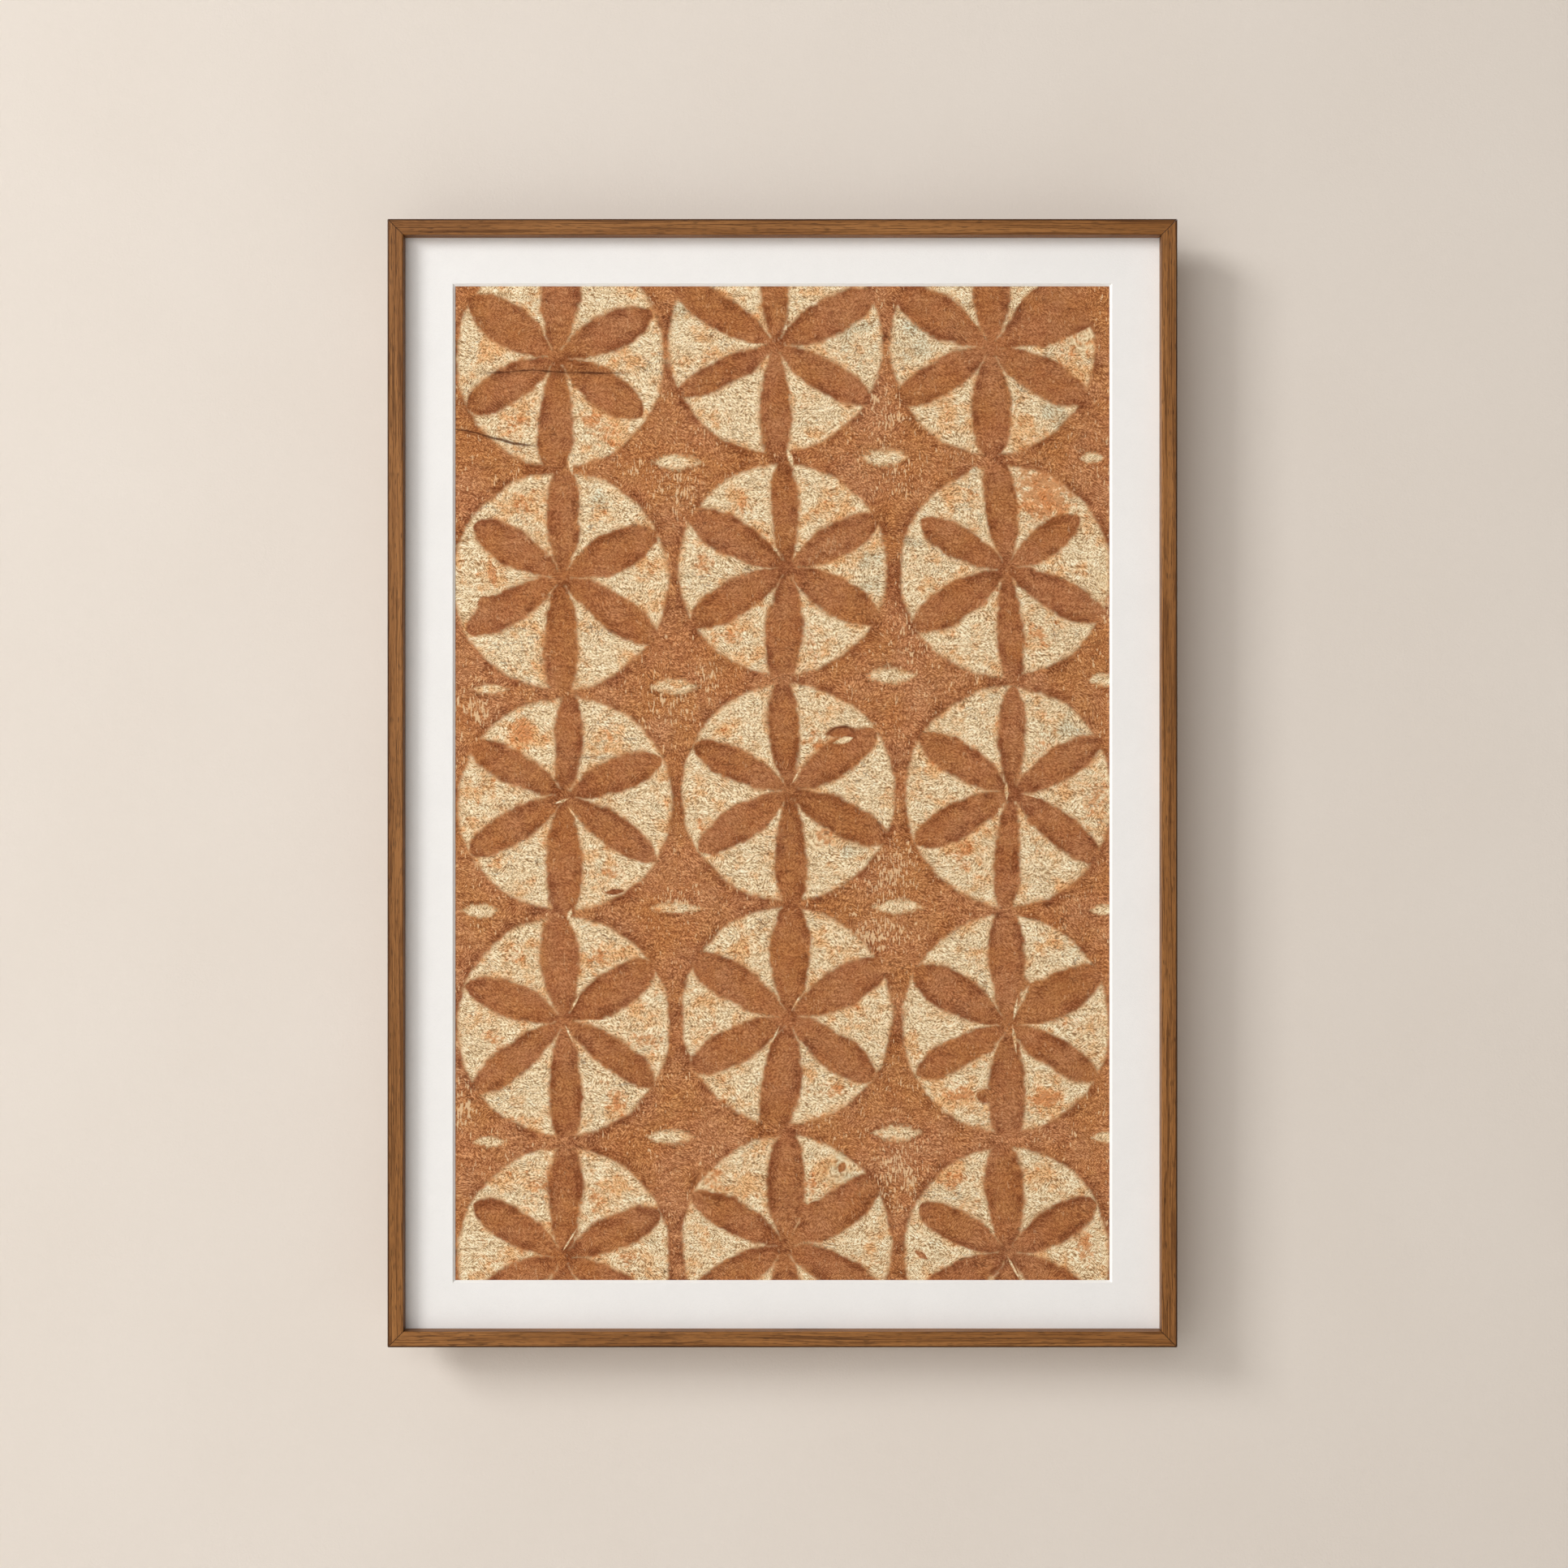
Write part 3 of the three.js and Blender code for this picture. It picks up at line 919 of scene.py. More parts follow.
@dataclass(frozen=True)
class BarkClothFinish:
    """Beaten bark painted with brown dye: the charted pattern, its mottling, its fibres and its stains."""

    dye: tuple = (
        (0.0, (110, 63, 37)),
        (0.25, (148, 91, 56)),
        (0.5, (176, 116, 75)),
        (0.75, (203, 143, 98)),
        (1.0, (236, 180, 131)),
    )
    bast: tuple = (
        (0.0, (138, 104, 68)),
        (0.2, (186, 150, 108)),
        (0.46, (227, 197, 154)),
        (0.75, (247, 225, 185)),
        (1.0, (255, 248, 222)),
    )
    rim: Colour = (204, 184, 176)
    rubbed: Colour = (228, 192, 148)
    red: Colour = (246, 226, 212)
    golden: Colour = (248, 240, 196)
    peach: Colour = (248, 218, 190)
    orange: Colour = (243, 200, 168)
    grey: Colour = (232, 240, 246)
    stain: Colour = (200, 144, 98)
    # Colour of the painted shade in the creases, and of the dark hairline fibres.
    crease: Colour = (82, 42, 22)
    disc_radius: float = 94.0
    hub_reach: float = 0.09
    petal_fullness: float = 0.56
    petal_lean: float = 1.28
    petal_width: float = 1.12
    sector_gap: float = 0.02
    feather: float = 1.7
    wander_reach: float = 0.09
    swell_reach: float = 7.0
    smear_reach: float = 16.0
    tooth_reach: float = 2.6
    fray_reach: float = 3.2
    spot_rise: float = 1.6
    spot_fall: float = 3.0
    rim_width: float = 13.0
    fleck_levels: tuple = (1.09, 1.25)
    crease_wander: float = 2.5
    crease_shade: float = 4.5
    knot_rim: float = 0.1
    bleed: Colour = (232, 190, 152)
    roughness: float = 0.92

    def make(self, shared: SharedEffects) -> bpy.types.Material:
        """Makes the finish.

        Args:
            shared: The shared node groups.

        Returns:
            The material.
        """
        material, sheet, shader = start_material("bark_cloth")
        place = sheet.mapped(sheet.object_place(MIDDLE_HEIGHT), turn=(-90, 0, 0))
        felt = self.felted(sheet, shared, place)
        brown = self.painted(sheet, place, felt)
        mask = sheet.map_range(brown, -self.feather, self.feather)
        bare = self.bare_bast(sheet, place, felt)
        leak = sheet.map_range(sheet.noise(place, 10.0, 2.0), 0.42, 0.6, 0.1, 1.0)
        seeped = sheet.times(sheet.map_range(brown, -4.5, -0.5, 0.0, 0.5), leak)
        bare = sheet.blend(seeped, bare, tint(*self.bleed), "MULTIPLY")
        dyed = self.dyed_bast(sheet, shared, place, felt, brown)
        colour = self.shade_creases_and_hairlines(sheet, place, sheet.blend(mask, bare, dyed))
        sheet.feed(shader.inputs["Base Color"], colour)
        shader.inputs["Roughness"].default_value = self.roughness
        shader.inputs["Specular IOR Level"].default_value = 0.2
        beaten = sheet.noise(place, 9.0, 1.0)
        height = sheet.fused(felt, 0.7, beaten)
        sheet.feed(shader.inputs["Normal"], sheet.bump(height, 0.6, 0.0004))
        return material

    def felted(self, sheet: NodeSheet, shared: SharedEffects, place: Socket) -> Socket:
        """Works out the height of the felted fibres, which curl round the knots.

        Args:
            sheet: The material's nodes.
            shared: The shared node groups.
            place: The place on the cloth, in millimetres.

        Returns:
            The height, from 0 to 1.
        """
        fibres = sheet.group(shared.fibres, Place=place, Length=2.6, Width=0.72).outputs["Height"]
        speck = sheet.map_range(sheet.noise(place, 0.8, 0.0), 0.3, 0.7)
        fibres = sheet.blend_values(0.25, fibres, speck)
        strand = sheet.noise(sheet.mapped(place, turn=(0, 0, 27), scale=(1 / 13, 1 / 2.1, 1)), 1.0, 0.0)
        fibres = sheet.maths("MULTIPLY_ADD", sheet.centred(strand), 0.5, fibres, clamp=True)
        knot = sheet.pair("Knots")
        right, up, _ = sheet.split(knot)
        reach = sheet.vector_maths("LENGTH", knot)
        bent = sheet.fused(sheet.noise(place, 6.0, 1.0), 0.5, reach)
        ring = sheet.joined(sheet.times(bent, 6.0), sheet.times(sheet.maths("ARCTAN2", up, right), 1.3))
        curl = sheet.map_range(sheet.noise(ring, 1.0, 1.0), 0.32, 0.66, 0.12, 0.8)
        whorl = sheet.blend_values(sheet.map_range(reach, 1.1, 0.6, 0.0, 0.75), fibres, curl)
        rim = sheet.map_range(sheet.maths("ABSOLUTE", sheet.minus(bent, 1.15)), 0.09, 0.02)
        return sheet.maths("SUBTRACT", whorl, sheet.times(rim, self.knot_rim), clamp=True)

    def painted(self, sheet: NodeSheet, place: Socket, felt: Socket) -> Socket:
        """Works out where the brown dye lies.

        Args:
            sheet: The material's nodes.
            place: The place on the cloth, in millimetres.
            felt: The fibres' height.

        Returns:
            The distance inside the dye's edge, in millimetres, below zero on bare bast.
        """
        spot = sheet.pair("Rosette")
        cell = sheet.vector_maths("FLOOR", sheet.vector_maths("MULTIPLY_ADD", spot, (0.125,) * 3, (0.5,) * 3))
        local = sheet.vector_maths("SUBTRACT", spot, sheet.vector_maths("SCALE", cell, scale=8.0))
        wander = sheet.noise_node(place, 22.0, 2.0, 0.6).outputs["Color"]
        centred = sheet.vector_maths("SUBTRACT", wander, (0.5, 0.5, 0.5))
        shift = sheet.vector_maths("SCALE", centred, scale=self.wander_reach)
        local = sheet.vector_maths("ADD", local, shift)
        right, up, _ = sheet.split(local)
        square = sheet.fused(right, right, sheet.times(up, up))
        reach = sheet.maths("SQRT", square)
        turn = sheet.minus(sheet.maths("ARCTAN2", up, right), math.pi / 6)
        sector = sheet.maths("ROUND", sheet.maths("DIVIDE", turn, math.pi / 3))
        swing = sheet.fused(sector, -math.pi / 3, turn)
        breadth, tip, _ = sheet.split(sheet.pair("Petal"))
        forward = sheet.times(reach, sheet.maths("COSINE", swing))
        along = sheet.maths("DIVIDE", forward, tip)
        across = sheet.maths("ABSOLUTE", sheet.times(reach, sheet.maths("SINE", swing)))
        leant = sheet.maths("POWER", sheet.maths("MAXIMUM", along, 0.0), self.petal_lean)
        bow = sheet.times(sheet.times(leant, sheet.minus(1.0, leant)), 4.0)
        full = sheet.maths("POWER", sheet.maths("MAXIMUM", bow, 0.0), self.petal_fullness)
        half = sheet.times(full, sheet.times(breadth, self.petal_width))
        gap = sheet.map_range(forward, self.hub_reach, 0.35, 0.0, self.sector_gap)
        room = sheet.minus(sheet.times(forward, math.tan(math.pi / 6)), gap)
        half = sheet.maths("MINIMUM", half, room)
        past = sheet.times(sheet.maths("MAXIMUM", sheet.minus(along, 1.0), 0.0), 1.2)
        inside = sheet.minus(sheet.minus(half, across), past)
        in_petal = sheet.times(inside, self.disc_radius)
        in_hub = sheet.times(sheet.minus(self.hub_reach, reach), self.disc_radius)
        brown = sheet.maths("SMOOTH_MAX", in_petal, in_hub, 2.0)

        swell = sheet.centred(sheet.noise(place, 26.0, 2.0))
        ground = sheet.fused(swell, self.swell_reach, sheet.amount("Ground"))
        brown = sheet.maths("SMOOTH_MAX", brown, ground, 2.5)
        smear = sheet.amount(Patch.SMEAR.value)
        brown = sheet.fused(smear, self.smear_reach, brown)
        tooth = sheet.centred(sheet.noise(place, 4.5, 1.0))
        dabbed = self.spot_distance(sheet, "Dabs", tooth, felt)
        bare = self.spot_distance(sheet, "Bare", tooth, felt)
        brown = sheet.maths("MAXIMUM", brown, dabbed)
        steep = sheet.maths("MAXIMUM", sheet.times(bare, -self.spot_rise), sheet.times(bare, -self.spot_fall))
        brown = sheet.maths("MINIMUM", brown, steep)
        brown = sheet.fused(tooth, self.tooth_reach, brown)
        return sheet.fused(sheet.centred(felt), self.fray_reach, brown)

    @staticmethod
    def spot_distance(sheet: NodeSheet, name: str, tooth: Socket, felt: Socket) -> Socket:
        """Works out how far inside a charted spot a place lies.

        Args:
            sheet: The material's nodes.
            name: The attribute that holds the nearest spot's own coordinates.
            tooth: A noise about zero that roughens the spot's edge.
            felt: The fibres' height, which frays it.

        Returns:
            About the distance inside the spot's edge, in millimetres.
        """
        along, up, _ = sheet.split(sheet.pair(name))
        away = sheet.fused(along, along, sheet.maths("ABSOLUTE", up))
        frayed = sheet.fused(sheet.centred(felt), 0.5, away)
        ragged = sheet.fused(tooth, 0.7, frayed)
        return sheet.times(sheet.minus(1.0, ragged), 6.0)

    def dyed_bast(
        self, sheet: NodeSheet, shared: SharedEffects, place: Socket, felt: Socket, brown: Socket
    ) -> Socket:
        """Colours the dyed bast: mottled, dark along its edges and worn where it rubbed.

        Args:
            sheet: The material's nodes.
            shared: The shared node groups.
            place: The place on the cloth, in millimetres.
            felt: The fibres' height.
            brown: The distance inside the dye's edge.

        Returns:
            The colour's socket.
        """
        worn = sheet.amount(Patch.WORN.value)
        ground = sheet.amount("Ground")
        firm = sheet.map_range(ground, -4.0, 4.0, 0.6, 0.84)
        lift = sheet.map_range(ground, -4.0, 4.0, 0.46, 0.52)
        tone = sheet.fused(sheet.centred(felt), firm, lift)
        colour = sheet.ramp(tone, self.dye)
        broad = sheet.group(shared.blotches, Place=place, Size=44.0, Cover=0.5, Softness=0.35).outputs["Mask"]
        moved = sheet.mapped(place, shift=(400, 130, 0))
        red = sheet.group(shared.blotches, Place=moved, Size=24.0, Cover=0.45, Softness=0.3).outputs["Mask"]
        colour = sheet.blend(sheet.times(broad, 0.65), colour, tint(*self.golden), "MULTIPLY")
        colour = sheet.blend(sheet.times(red, 0.55), colour, tint(*self.red), "MULTIPLY")
        patchy = sheet.map_range(sheet.noise(place, 17.0, 2.0), 0.44, 0.62, 0.05, 1.0)
        edge = sheet.times(sheet.map_range(brown, self.rim_width, 1.0), patchy)
        colour = sheet.blend(edge, colour, tint(*self.rim), "MULTIPLY")
        scratch = sheet.noise(sheet.mapped(place, turn=(0, 0, 10), scale=(1 / 1.3, 1 / 5.5, 1)), 1.0, 0.0)
        clustered = sheet.fused(sheet.noise(place, 11.0, 1.0), 0.6, scratch)
        clustered = sheet.fused(felt, 0.14, clustered)
        level = sheet.fused(worn, 0.24, clustered)
        open_ground = sheet.map_range(ground, -2.0, 4.0, 0.25, 0.85)
        flecks = sheet.times(sheet.map_range(level, *self.fleck_levels), open_ground)
        return sheet.blend(flecks, colour, tint(*self.rubbed))

    def bare_bast(self, sheet: NodeSheet, place: Socket, felt: Socket) -> Socket:
        """Colours the bare bast: cream, flecked with dark fibres, peach and grey in patches, and stained.

        Args:
            sheet: The material's nodes.
            place: The place on the cloth, in millimetres.
            felt: The fibres' height.

        Returns:
            The colour's socket.
        """
        colour = sheet.ramp(felt, self.bast)
        moved = sheet.mapped(place, shift=(210, 70, 0))
        peach = sheet.amount(Patch.PEACH.value)
        stained = sheet.amount(Patch.STAIN.value)
        grey = sheet.amount(Patch.GREY.value)
        warmth = sheet.fused(peach, 0.17, sheet.noise(moved, 17.0, 3.0, 0.68))
        warm = sheet.map_range(warmth, 0.46, 0.7)
        colour = sheet.blend(warm, colour, tint(*self.peach), "MULTIPLY")
        spread = sheet.noise(moved, 5.0, 3.0, 0.65)
        orange = sheet.fused(warm, 0.09, sheet.fused(stained, 0.26, spread))
        colour = sheet.blend(sheet.map_range(orange, 0.58, 0.84), colour, tint(*self.orange), "MULTIPLY")
        cool = sheet.fused(grey, 0.35, sheet.noise(place, 13.0, 2.0))
        colour = sheet.blend(sheet.map_range(cool, 0.54, 0.94), colour, tint(*self.grey), "MULTIPLY")
        soaked = sheet.times(sheet.map_range(stained, 0.2, 1.1), sheet.map_range(spread, 0.36, 0.66))
        return sheet.blend(sheet.times(soaked, 0.8), colour, tint(*self.stain))

    def shade_creases_and_hairlines(self, sheet: NodeSheet, place: Socket, colour: Socket) -> Socket:
        """Paints shade into the creases, a dark line along the bottom of each and a soft painted shadow beside it,
        and draws dark hairline fibres in some regions.

        Args:
            sheet: The material's nodes.
            place: The place on the cloth, in millimetres.
            colour: The colour so far.

        Returns:
            The colour's socket.
        """
        strength, side, _ = sheet.split(sheet.pair("Crease"))
        wander = sheet.centred(sheet.noise(place, 9.0, 1.0))
        offset = sheet.maths("ABSOLUTE", sheet.fused(wander, self.crease_wander, side))
        thin = sheet.map_range(sheet.noise(place, 16.0, 1.0), 0.35, 0.65, 0.35, 1.25)
        # Painted shade: a dark line along the crease's bottom and a soft painted shadow beside it.
        line = sheet.map_range(sheet.maths("DIVIDE", offset, thin), 1.5, 0.5)
        soft = sheet.map_range(offset, self.crease_shade, 0.0, 0.0, 0.34)
        share = sheet.times(sheet.times(sheet.maths("MAXIMUM", line, soft), strength), 0.95)
        # Dark hairline fibres, real marks of the cloth, not shade.
        drawn = sheet.noise(sheet.mapped(place, scale=(0.045, 0.085, 1)), 1.0, 2.0, 0.55)
        hairline = sheet.map_range(sheet.maths("ABSOLUTE", sheet.centred(drawn)), 0.012, 0.003)
        region = sheet.noise(sheet.mapped(place, shift=(60, 20, 0)), 40.0, 1.0)
        here = sheet.map_range(region, 0.52, 0.62, 0.0, 0.5)
        share = sheet.maths("MAXIMUM", share, sheet.times(hairline, here))
        return sheet.blend(share, colour, tint(*self.crease))


@dataclass
class WoodFrame:
    """The four mitred rails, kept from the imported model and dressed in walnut."""

    across: tuple[str, ...] = ("frame_top", "frame_bottom")
    upright: tuple[str, ...] = ("frame_left", "frame_right")
    finish: WalnutFinish = field(default_factory=WalnutFinish)

    def dress(self, nodes: dict[str, bpy.types.Object], shared: SharedEffects) -> None:
        """Dresses the rails, each with its grain along it.

        Args:
            nodes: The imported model's nodes by name.
            shared: The shared node groups.
        """
        for run, names in ((GrainRun.ACROSS, self.across), (GrainRun.UPRIGHT, self.upright)):
            walnut = self.finish.make(run, shared)
            for name in names:
                wear_finish(nodes[name], walnut)
                log.info("dressed %s in walnut, grain %s", name, run.value)


@dataclass
class Mount:
    """The window mat in front of the cloth, and the board and steel tabs behind it."""

    mat: str = "mat_board"
    board: str = "backing_board"
    tab_start: str = "tab_"

    def dress(self, nodes: dict[str, bpy.types.Object], shared: SharedEffects) -> None:
        """Dresses the mat, the board and the tabs.

        Args:
            nodes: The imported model's nodes by name.
            shared: The shared node groups.
        """
        wear_finish(nodes[self.mat], MatFinish().make(shared))
        wear_finish(nodes[self.board], HardboardFinish().make(shared))
        steel = SteelFinish().make(shared)
        tabs = sorted(name for name in nodes if name.startswith(self.tab_start))
        for name in tabs:
            wear_finish(nodes[name], steel)
        log.info("dressed %s, %s and %d tabs", self.mat, self.board, len(tabs))


@dataclass
class BarkCloth:
    """The sheet of beaten bark: thin, closed, on its solid's folds, with creases pressed in it."""

    node: str = "tapa_cloth"
    width: float = 618.0
    height: float = 921.0
    window_width: float = 588.0
    window_height: float = 891.0
    front: float = -10.5
    back: float = -9.3
    flat_border: float = 15.0
    rising_border: float = 45.0
    swell: float = 0.3
    swell_across: float = 230.0
    swell_down: float = 310.0
    columns: int = 154
    rows: int = 229
    cell_step: float = 8.0

    def rise_at(self, x: Array, z: Array) -> Array:
        """Works out how far the cloth's face stands in front of its flat place.

        Args:
            x: The places' x.
            z: The places' z.

        Returns:
            The rise in millimetres, below zero in a crease.
        """
        wave = 1 + np.sin(2 * np.pi * x / self.swell_across + 1) * np.sin(2 * np.pi * z / self.swell_down)
        rise = self.swell * wave
        for ridge in RIDGES:
            rise = rise + ridge.rise_at(x, z)
        for crease in CREASES:
            side, near = crease.beside(x, z)
            rise = rise - crease.depth * near * np.exp(-((side / crease.width) ** 2))
        for size, distance in ((self.window_width, x), (self.window_height, z)):
            inward = (size / 2 - np.abs(distance) - self.flat_border) / self.rising_border
            share = np.clip(inward, 0, 1)
            rise = rise * share * share * (3 - 2 * share)
        return rise

    def build(self) -> bpy.types.Object:
        """Builds the sheet, with the chart of its pattern in its attributes.

        Returns:
            The sheet.
        """
        across = np.linspace(-self.width / 2, self.width / 2, self.columns + 1)
        upward = np.linspace(-self.height / 2, self.height / 2, self.rows + 1)
        z, x = (part.ravel() for part in np.meshgrid(upward, across, indexing="ij"))
        front = np.column_stack((x, self.front - self.rise_at(x, z), z + MIDDLE_HEIGHT))
        back = np.column_stack((x, np.full_like(x, self.back), z + MIDDLE_HEIGHT))
        points = np.concatenate((front, back)) * MM

        start = np.arange(self.rows)[:, None] * (self.columns + 1) + np.arange(self.columns)
        low = start.ravel()
        high = low + self.columns + 1
        faces = np.column_stack((low, low + 1, high + 1, high))
        under = faces[:, ::-1] + len(x)
        rims = np.array(self.rim_faces(len(x)))
        every_face = np.concatenate((faces, under, rims))

        mesh = bpy.data.meshes.new("bark_cloth")
        mesh.from_pydata(points.tolist(), [], every_face.tolist())
        mesh.validate()
        self.chart(mesh, np.tile(x, 2), np.tile(z, 2))
        mesh.shade_smooth()
        cloth = bpy.data.objects.new("bark_cloth", mesh)
        bpy.context.scene.collection.objects.link(cloth)
        return cloth

    def rim_faces(self, behind: int) -> list[tuple[int, int, int, int]]:
        """Lists the faces that close the sheet's four edges.

        Args:
            behind: How far on a point's match at the back is in the list of points.

        Returns:
            The corners of each face.
        """
        stride = self.columns + 1
        top = self.rows * stride
        bottom_run = list(range(self.columns + 1))
        right_run = [self.columns + row * stride for row in range(self.rows + 1)]
        top_run = [top + column for column in reversed(range(self.columns + 1))]
        left_run = [row * stride for row in reversed(range(self.rows + 1))]
        faces = []
        for run in (bottom_run, right_run, top_run, left_run):
            for first, second in zip(run, run[1:]):
                faces.append((second, first, first + behind, second + behind))
        return faces

    def chart(self, mesh: bpy.types.Mesh, x: Array, z: Array) -> None:
        """Writes the pattern's chart, the creases and the patches into the mesh's attributes.

        Args:
            mesh: The sheet's mesh.
            x: Its points' x, in millimetres from the window's middle.
            z: Its points' z, in millimetres from the window's middle.
        """
        corners = np.empty(len(mesh.loops), dtype=np.int32)
        mesh.loops.foreach_get("vertex_index", corners)
        corners = corners.reshape(-1, 4)
        corner_x = x[corners]
        corner_z = z[corners]
        face_x = corner_x.mean(axis=1)
        face_z = corner_z.mean(axis=1)

        outside = np.array([rosette.outside(face_x, face_z) for rosette in ROSETTES])
        nearest = outside.argmin(axis=0)
        spot = np.zeros(corner_x.shape + (2,))
        petal = np.zeros(corner_x.shape + (2,))
        for count, rosette in enumerate(ROSETTES):
            mine = nearest == count
            right, up = rosette.unrolled(corner_x[mine], corner_z[mine])
            face_right, face_up = rosette.unrolled(face_x[mine], face_z[mine])
            sector = np.round((np.degrees(np.arctan2(face_up, face_right)) - 30) / 60).astype(int) % 6
            breadth = np.array(rosette.breadths)[sector] / (rosette.half_width + rosette.half_height)
            spot[mine, :, 0] = right + self.cell_step * (count % 3)
            spot[mine, :, 1] = up + self.cell_step * (count // 3)
            petal[mine, :, 0] = breadth[:, None]
            petal[mine, :, 1] = np.array(rosette.reaches)[sector][:, None]
        self.write_pair(mesh, "Rosette", spot)
        self.write_pair(mesh, "Petal", petal)
        for name, blobs in (("Bare", BARE), ("Dabs", DABS), ("Knots", KNOTS)):
            self.write_pair(mesh, name, self.nearest_blob(blobs, corner_x, corner_z, face_x, face_z))
        self.write_pair(mesh, "Crease", self.nearest_crease(corner_x, corner_z, face_x, face_z))

        ground = np.min([rosette.outside(x, z) for rosette in ROSETTES], axis=0)
        self.write_number(mesh, "Ground", ground)
        for patch, blobs in PATCHES.items():
            self.write_number(mesh, patch.value, sum(blob.strength_at(x, z) for blob in blobs))

    @staticmethod
    def nearest_blob(blobs: tuple[Blob, ...], x: Array, z: Array, face_x: Array, face_z: Array) -> Array:
        """Finds each face's corners in the patch that is nearest to the face.

        Args:
            blobs: The patches.
            x: The corners' x, a row for each face.
            z: The corners' z, a row for each face.
            face_x: The faces' x.
            face_z: The faces' z.

        Returns:
            The corners' coordinates in half sizes of their patch.
        """
        away = np.array([np.hypot(*blob.local(face_x, face_z)) for blob in blobs])
        nearest = away.argmin(axis=0)
        found = np.zeros(x.shape + (2,))
        for count, blob in enumerate(blobs):
            mine = nearest == count
            found[mine] = np.stack(blob.local(x[mine], z[mine]), axis=-1)
        return found

    @staticmethod
    def nearest_crease(x: Array, z: Array, face_x: Array, face_z: Array) -> Array:
        """Measures each face's corners against the crease that is nearest to the face.

        Args:
            x: The corners' x, a row for each face.
            z: The corners' z, a row for each face.
            face_x: The faces' x.
            face_z: The faces' z.

        Returns:
            How strong the crease's painted shade is there, and the distance from its line in millimetres.
        """
        pull = np.array([crease.beside(face_x, face_z)[1] for crease in CREASES])
        nearest = pull.argmax(axis=0)
        found = np.zeros(x.shape + (2,))
        for count, crease in enumerate(CREASES):
            mine = nearest == count
            side, near = crease.beside(x[mine], z[mine])
            found[mine] = np.stack((near * crease.dark, side), axis=-1)
        return found

    @staticmethod
    def write_pair(mesh: bpy.types.Mesh, name: str, values: Array) -> None:
        """Writes a pair of numbers for each face corner into a UV map."""
        layer = mesh.uv_layers.new(name=name, do_init=False)
        layer.data.foreach_set("uv", values.astype(np.float32).ravel())

    @staticmethod
    def write_number(mesh: bpy.types.Mesh, name: str, values: Array) -> None:
        """Writes a number for each point into an attribute."""
        attribute = mesh.attributes.new(name, "FLOAT", "POINT")
        attribute.data.foreach_set("value", values.astype(np.float32))

    def dress(self, cloth: bpy.types.Object, shared: SharedEffects) -> None:
        """Args:
            cloth: The sheet.
            shared: The shared node groups.
        """
        wear_finish(cloth, BarkClothFinish().make(shared))
        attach(cloth, BODY)
        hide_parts(self.node)
        log.info("built %s with %d faces", cloth.name, len(cloth.data.polygons))


@dataclass(frozen=True)
class PlasterFinish:
    """Warm plaster that shows only from its front and lets all light through."""

    pale: Colour = (229, 219, 209)
    dark: Colour = (225, 214, 203)
    roughness: float = 0.95

    def make(self) -> bpy.types.Material:
        """Makes the finish.

        Returns:
            The material.
        """
        material, sheet, shader = start_material("backdrop_plaster")
        place = sheet.object_place()
        colour = sheet.blend(sheet.noise(place, 160.0, 1.0), tint(*self.pale), tint(*self.dark))
        sheet.feed(shader.inputs["Base Color"], colour)
        shader.inputs["Roughness"].default_value = self.roughness
        trowel = sheet.noise(place, 2.2, 1.0, 0.6)
        sheet.feed(shader.inputs["Normal"], sheet.bump(trowel, 0.25, 0.0006))
        front = sheet.minus(1.0, sheet.add("ShaderNodeNewGeometry").outputs["Backfacing"])
        seen = sheet.times(front, sheet.add("ShaderNodeLightPath").outputs["Is Camera Ray"])
        clear = sheet.add("ShaderNodeBsdfTransparent").outputs[0]
        mix = sheet.fed("ShaderNodeMixShader", {0: seen, 1: clear, 2: shader.outputs[0]})
        output = next(node for node in material.node_tree.nodes if node.type == "OUTPUT_MATERIAL")
        sheet.feed(output.inputs["Surface"], mix.outputs[0])
        return material


@dataclass(frozen=True)
class FloorFinish:
    """Plain pale floor paint."""

    pale: Colour = (228, 224, 218)
    dark: Colour = (220, 216, 210)
    roughness: float = 0.8

    def make(self) -> bpy.types.Material:
        """Makes the finish.

        Returns:
            The material.
        """
        material, sheet, shader = start_material("floor_paint")
        cloud = sheet.noise(sheet.object_place(), 400.0, 2.0)
        sheet.feed(shader.inputs["Base Color"], sheet.blend(cloud, tint(*self.pale), tint(*self.dark)))
        shader.inputs["Roughness"].default_value = self.roughness
        return material


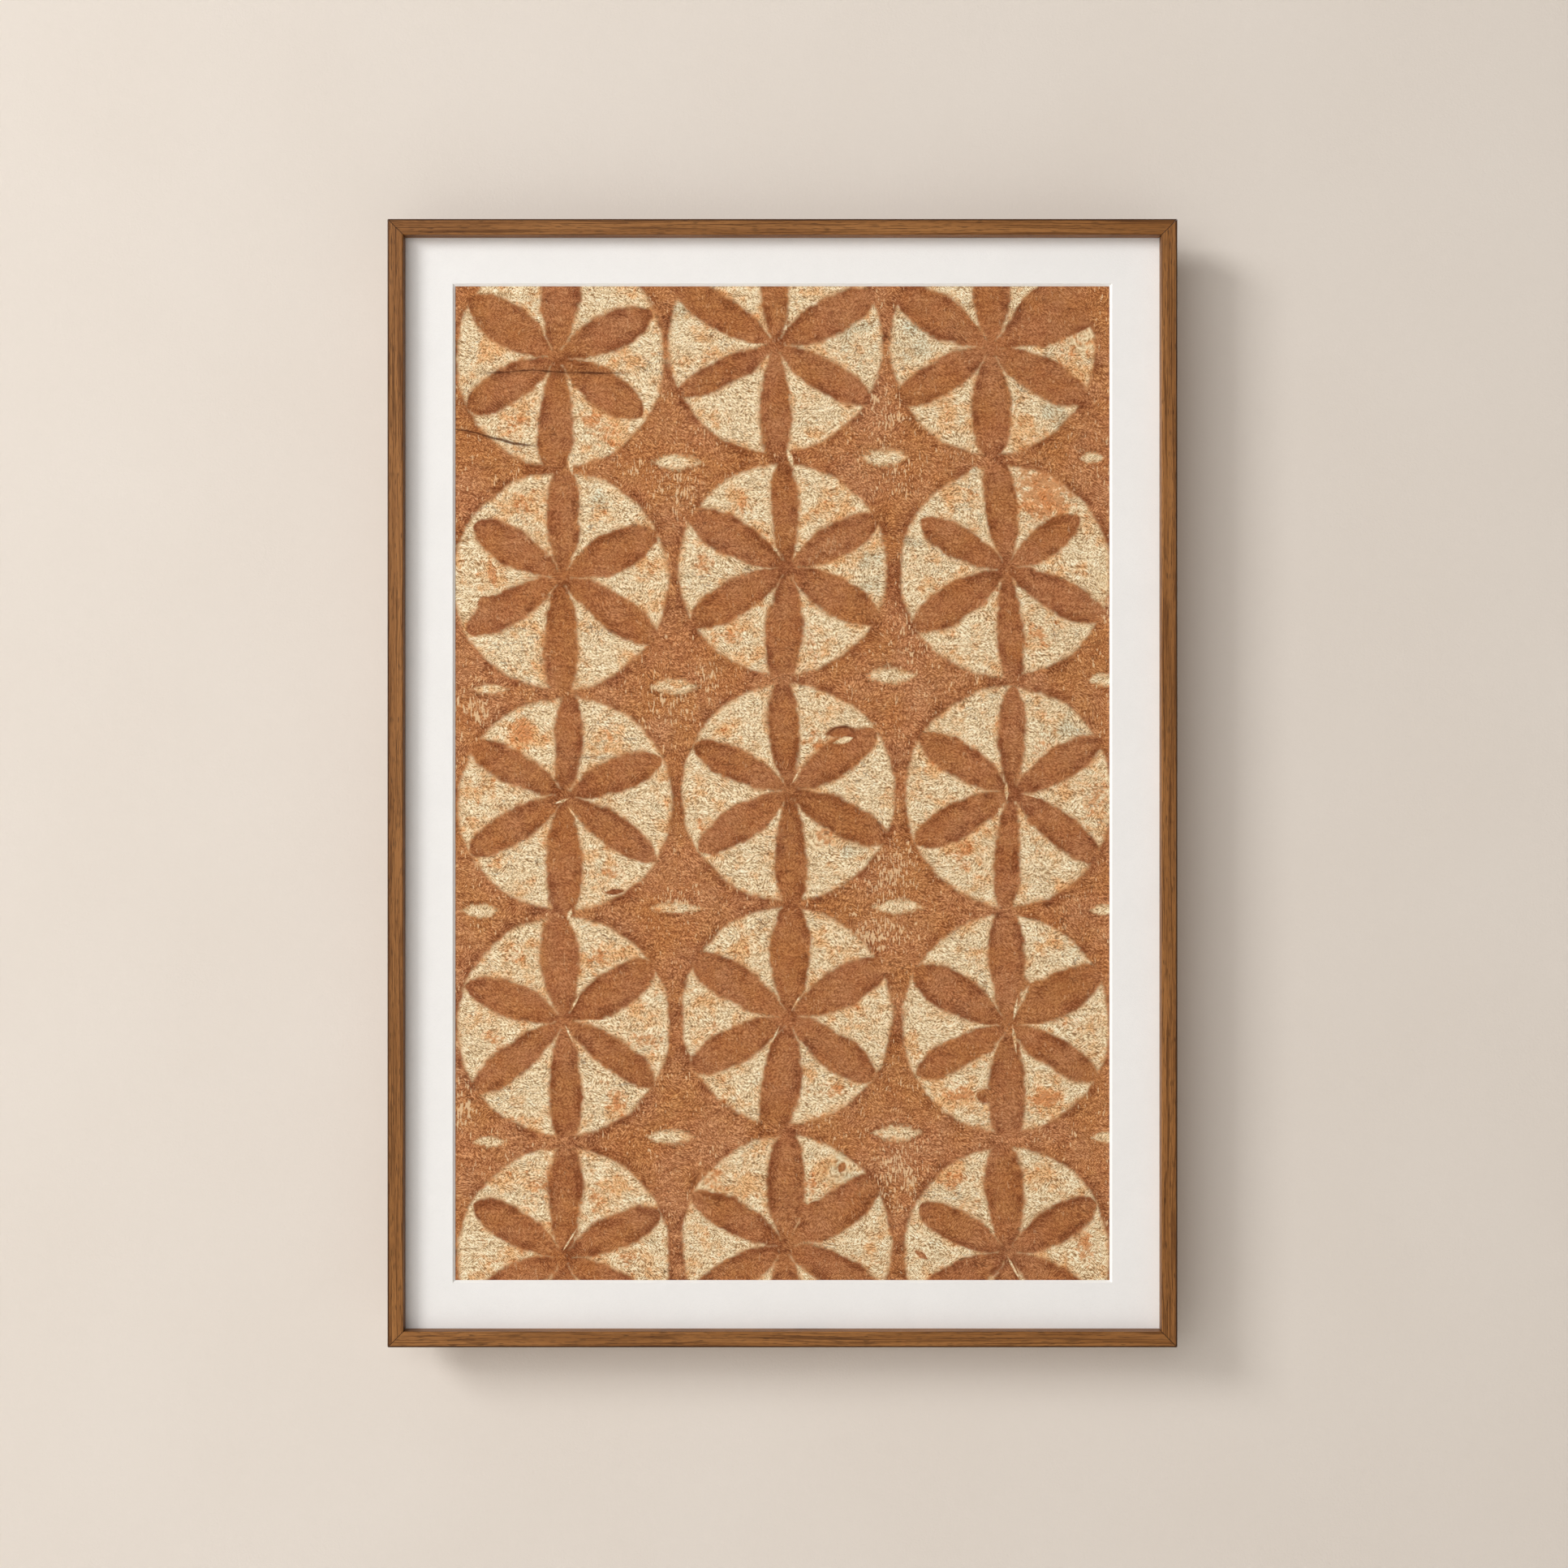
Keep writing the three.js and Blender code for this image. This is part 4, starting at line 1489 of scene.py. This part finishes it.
@dataclass
class Studio:
    """The pale backdrop and floor, the soft light from the upper left, and the camera."""

    backdrop_y: float = 0.04
    backdrop_half_width: float = 5.0
    backdrop_top: float = 3.5
    floor_height: float = -1.95
    floor_half_size: float = 9.0
    key_place: Vector = field(default_factory=lambda: Vector((-1.9, -5.8, 0.5)))
    key_width: float = 5.4
    key_height: float = 3.7
    key_power: float = 172.0
    window_place: Vector = field(default_factory=lambda: Vector((-5.0, -4.4, 2.4)))
    window_size: float = 2.2
    window_power: float = 254.0
    rear_place: Vector = field(default_factory=lambda: Vector((1.6, 4.4, 1.2)))
    rear_size: float = 3.0
    rear_power: float = 105.0
    aim: Vector = field(default_factory=lambda: Vector((0.0, -0.02, -0.496)))
    sky_base: float = 0.042
    sky_left: float = 0.3
    sky_above: float = 0.25
    sky_seen: float = 0.5
    sky_colour: tuple = (1.0, 0.93, 0.84, 1.0)
    key_colour: tuple = (1.0, 1.0, 1.0)
    window_colour: tuple = (0.96, 0.985, 1.0)
    camera_place: Vector = field(default_factory=lambda: Vector((0.0014, -2.428, -0.4967)))
    lens: float = 62.2

    def build(self) -> None:
        """Builds the stage, the lights and the camera."""
        self.build_plane("backdrop", self.backdrop_corners(), PlasterFinish().make())
        self.build_plane("floor", self.floor_corners(), FloorFinish().make())
        key_size = (self.key_width, self.key_height)
        window_size = (self.window_size, self.window_size)
        rear_size = (self.rear_size, self.rear_size)
        self.build_light("key", self.key_place, key_size, self.key_power, self.key_colour)
        self.build_light("window", self.window_place, window_size, self.window_power, self.window_colour)
        self.build_light("rear", self.rear_place, rear_size, self.rear_power, self.key_colour)
        self.build_world()
        self.build_camera()
        bpy.context.scene.view_settings.view_transform = "Standard"

    def backdrop_corners(self) -> list[Corner]:
        """Returns the backdrop's corners, facing the camera."""
        wide, low, high = self.backdrop_half_width, self.floor_height, self.backdrop_top
        return [(x, self.backdrop_y, z) for x, z in ((-wide, low), (wide, low), (wide, high), (-wide, high))]

    def floor_corners(self) -> list[Corner]:
        """Returns the floor's corners, facing up."""
        size, low = self.floor_half_size, self.floor_height
        return [(-size, -size, low), (size, -size, low), (size, size, low), (-size, size, low)]

    @staticmethod
    def build_plane(name: str, corners: list[Corner], material: bpy.types.Material) -> None:
        """Builds a flat stage piece.

        Args:
            name: The piece's name.
            corners: Its corners in order.
            material: Its finish.
        """
        mesh = bpy.data.meshes.new(name)
        mesh.from_pydata(corners, [], [(0, 1, 2, 3)])
        mesh.materials.append(material)
        plane = bpy.data.objects.new(name, mesh)
        bpy.context.scene.collection.objects.link(plane)
        log.info("set up %s", name)

    def build_light(
        self, name: str, place: Vector, size: tuple[float, float], power: float, colour: tuple
    ) -> None:
        """Builds a soft light that looks at the object.

        Args:
            name: The light's name.
            place: Where it hangs.
            size: Its width and height, in metres.
            power: Its power, in watts.
            colour: The colour of its light.
        """
        data = bpy.data.lights.new(name, "AREA")
        data.shape = "RECTANGLE"
        data.size, data.size_y = size
        data.energy = power
        data.color = colour
        light = bpy.data.objects.new(name, data)
        light.location = place
        light.visible_camera = False
        light.rotation_euler = (self.aim - place).to_track_quat("-Z", "Y").to_euler()
        bpy.context.scene.collection.objects.link(light)

    def build_world(self) -> None:
        """Builds the pale surroundings, brighter above and on the left, as from a wide window."""
        world = bpy.data.worlds.new("pale_room")
        world.use_nodes = True
        sheet = NodeSheet(world.node_tree)
        background = next(node for node in world.node_tree.nodes if node.type == "BACKGROUND")
        right, _, up = sheet.split(sheet.add("ShaderNodeTexCoord").outputs["Generated"])
        strength = sheet.fused(right, -self.sky_left, self.sky_base)
        strength = sheet.fused(up, self.sky_above, strength)
        strength = sheet.maths("MAXIMUM", strength, self.sky_base)
        seen = sheet.add("ShaderNodeLightPath").outputs["Is Camera Ray"]
        strength = sheet.blend_values(seen, strength, self.sky_seen)
        background.inputs["Color"].default_value = self.sky_colour
        sheet.feed(background.inputs["Strength"], strength)
        bpy.context.scene.world = world

    def build_camera(self) -> None:
        """Builds the camera, square on to the frame as in the photograph."""
        data = bpy.data.cameras.new("camera")
        data.sensor_width = 36.0
        data.lens = self.lens
        data.clip_end = 60.0
        camera = bpy.data.objects.new("camera", data)
        camera.location = self.camera_place
        camera.rotation_euler = (math.pi / 2, 0.0, 0.0)
        bpy.context.scene.collection.objects.link(camera)
        bpy.context.scene.camera = camera


def main() -> None:
    """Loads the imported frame, builds the cloth, dresses every piece and sets the stage."""
    logging.basicConfig(level=logging.INFO, format="%(name)s: %(message)s")
    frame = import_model()
    shared = SharedEffects()
    WoodFrame().dress(frame["nodes"], shared)
    Mount().dress(frame["nodes"], shared)
    bark_cloth = BarkCloth()
    bark_cloth.dress(bark_cloth.build(), shared)
    Studio().build()


if __name__ == "__main__":
    main()
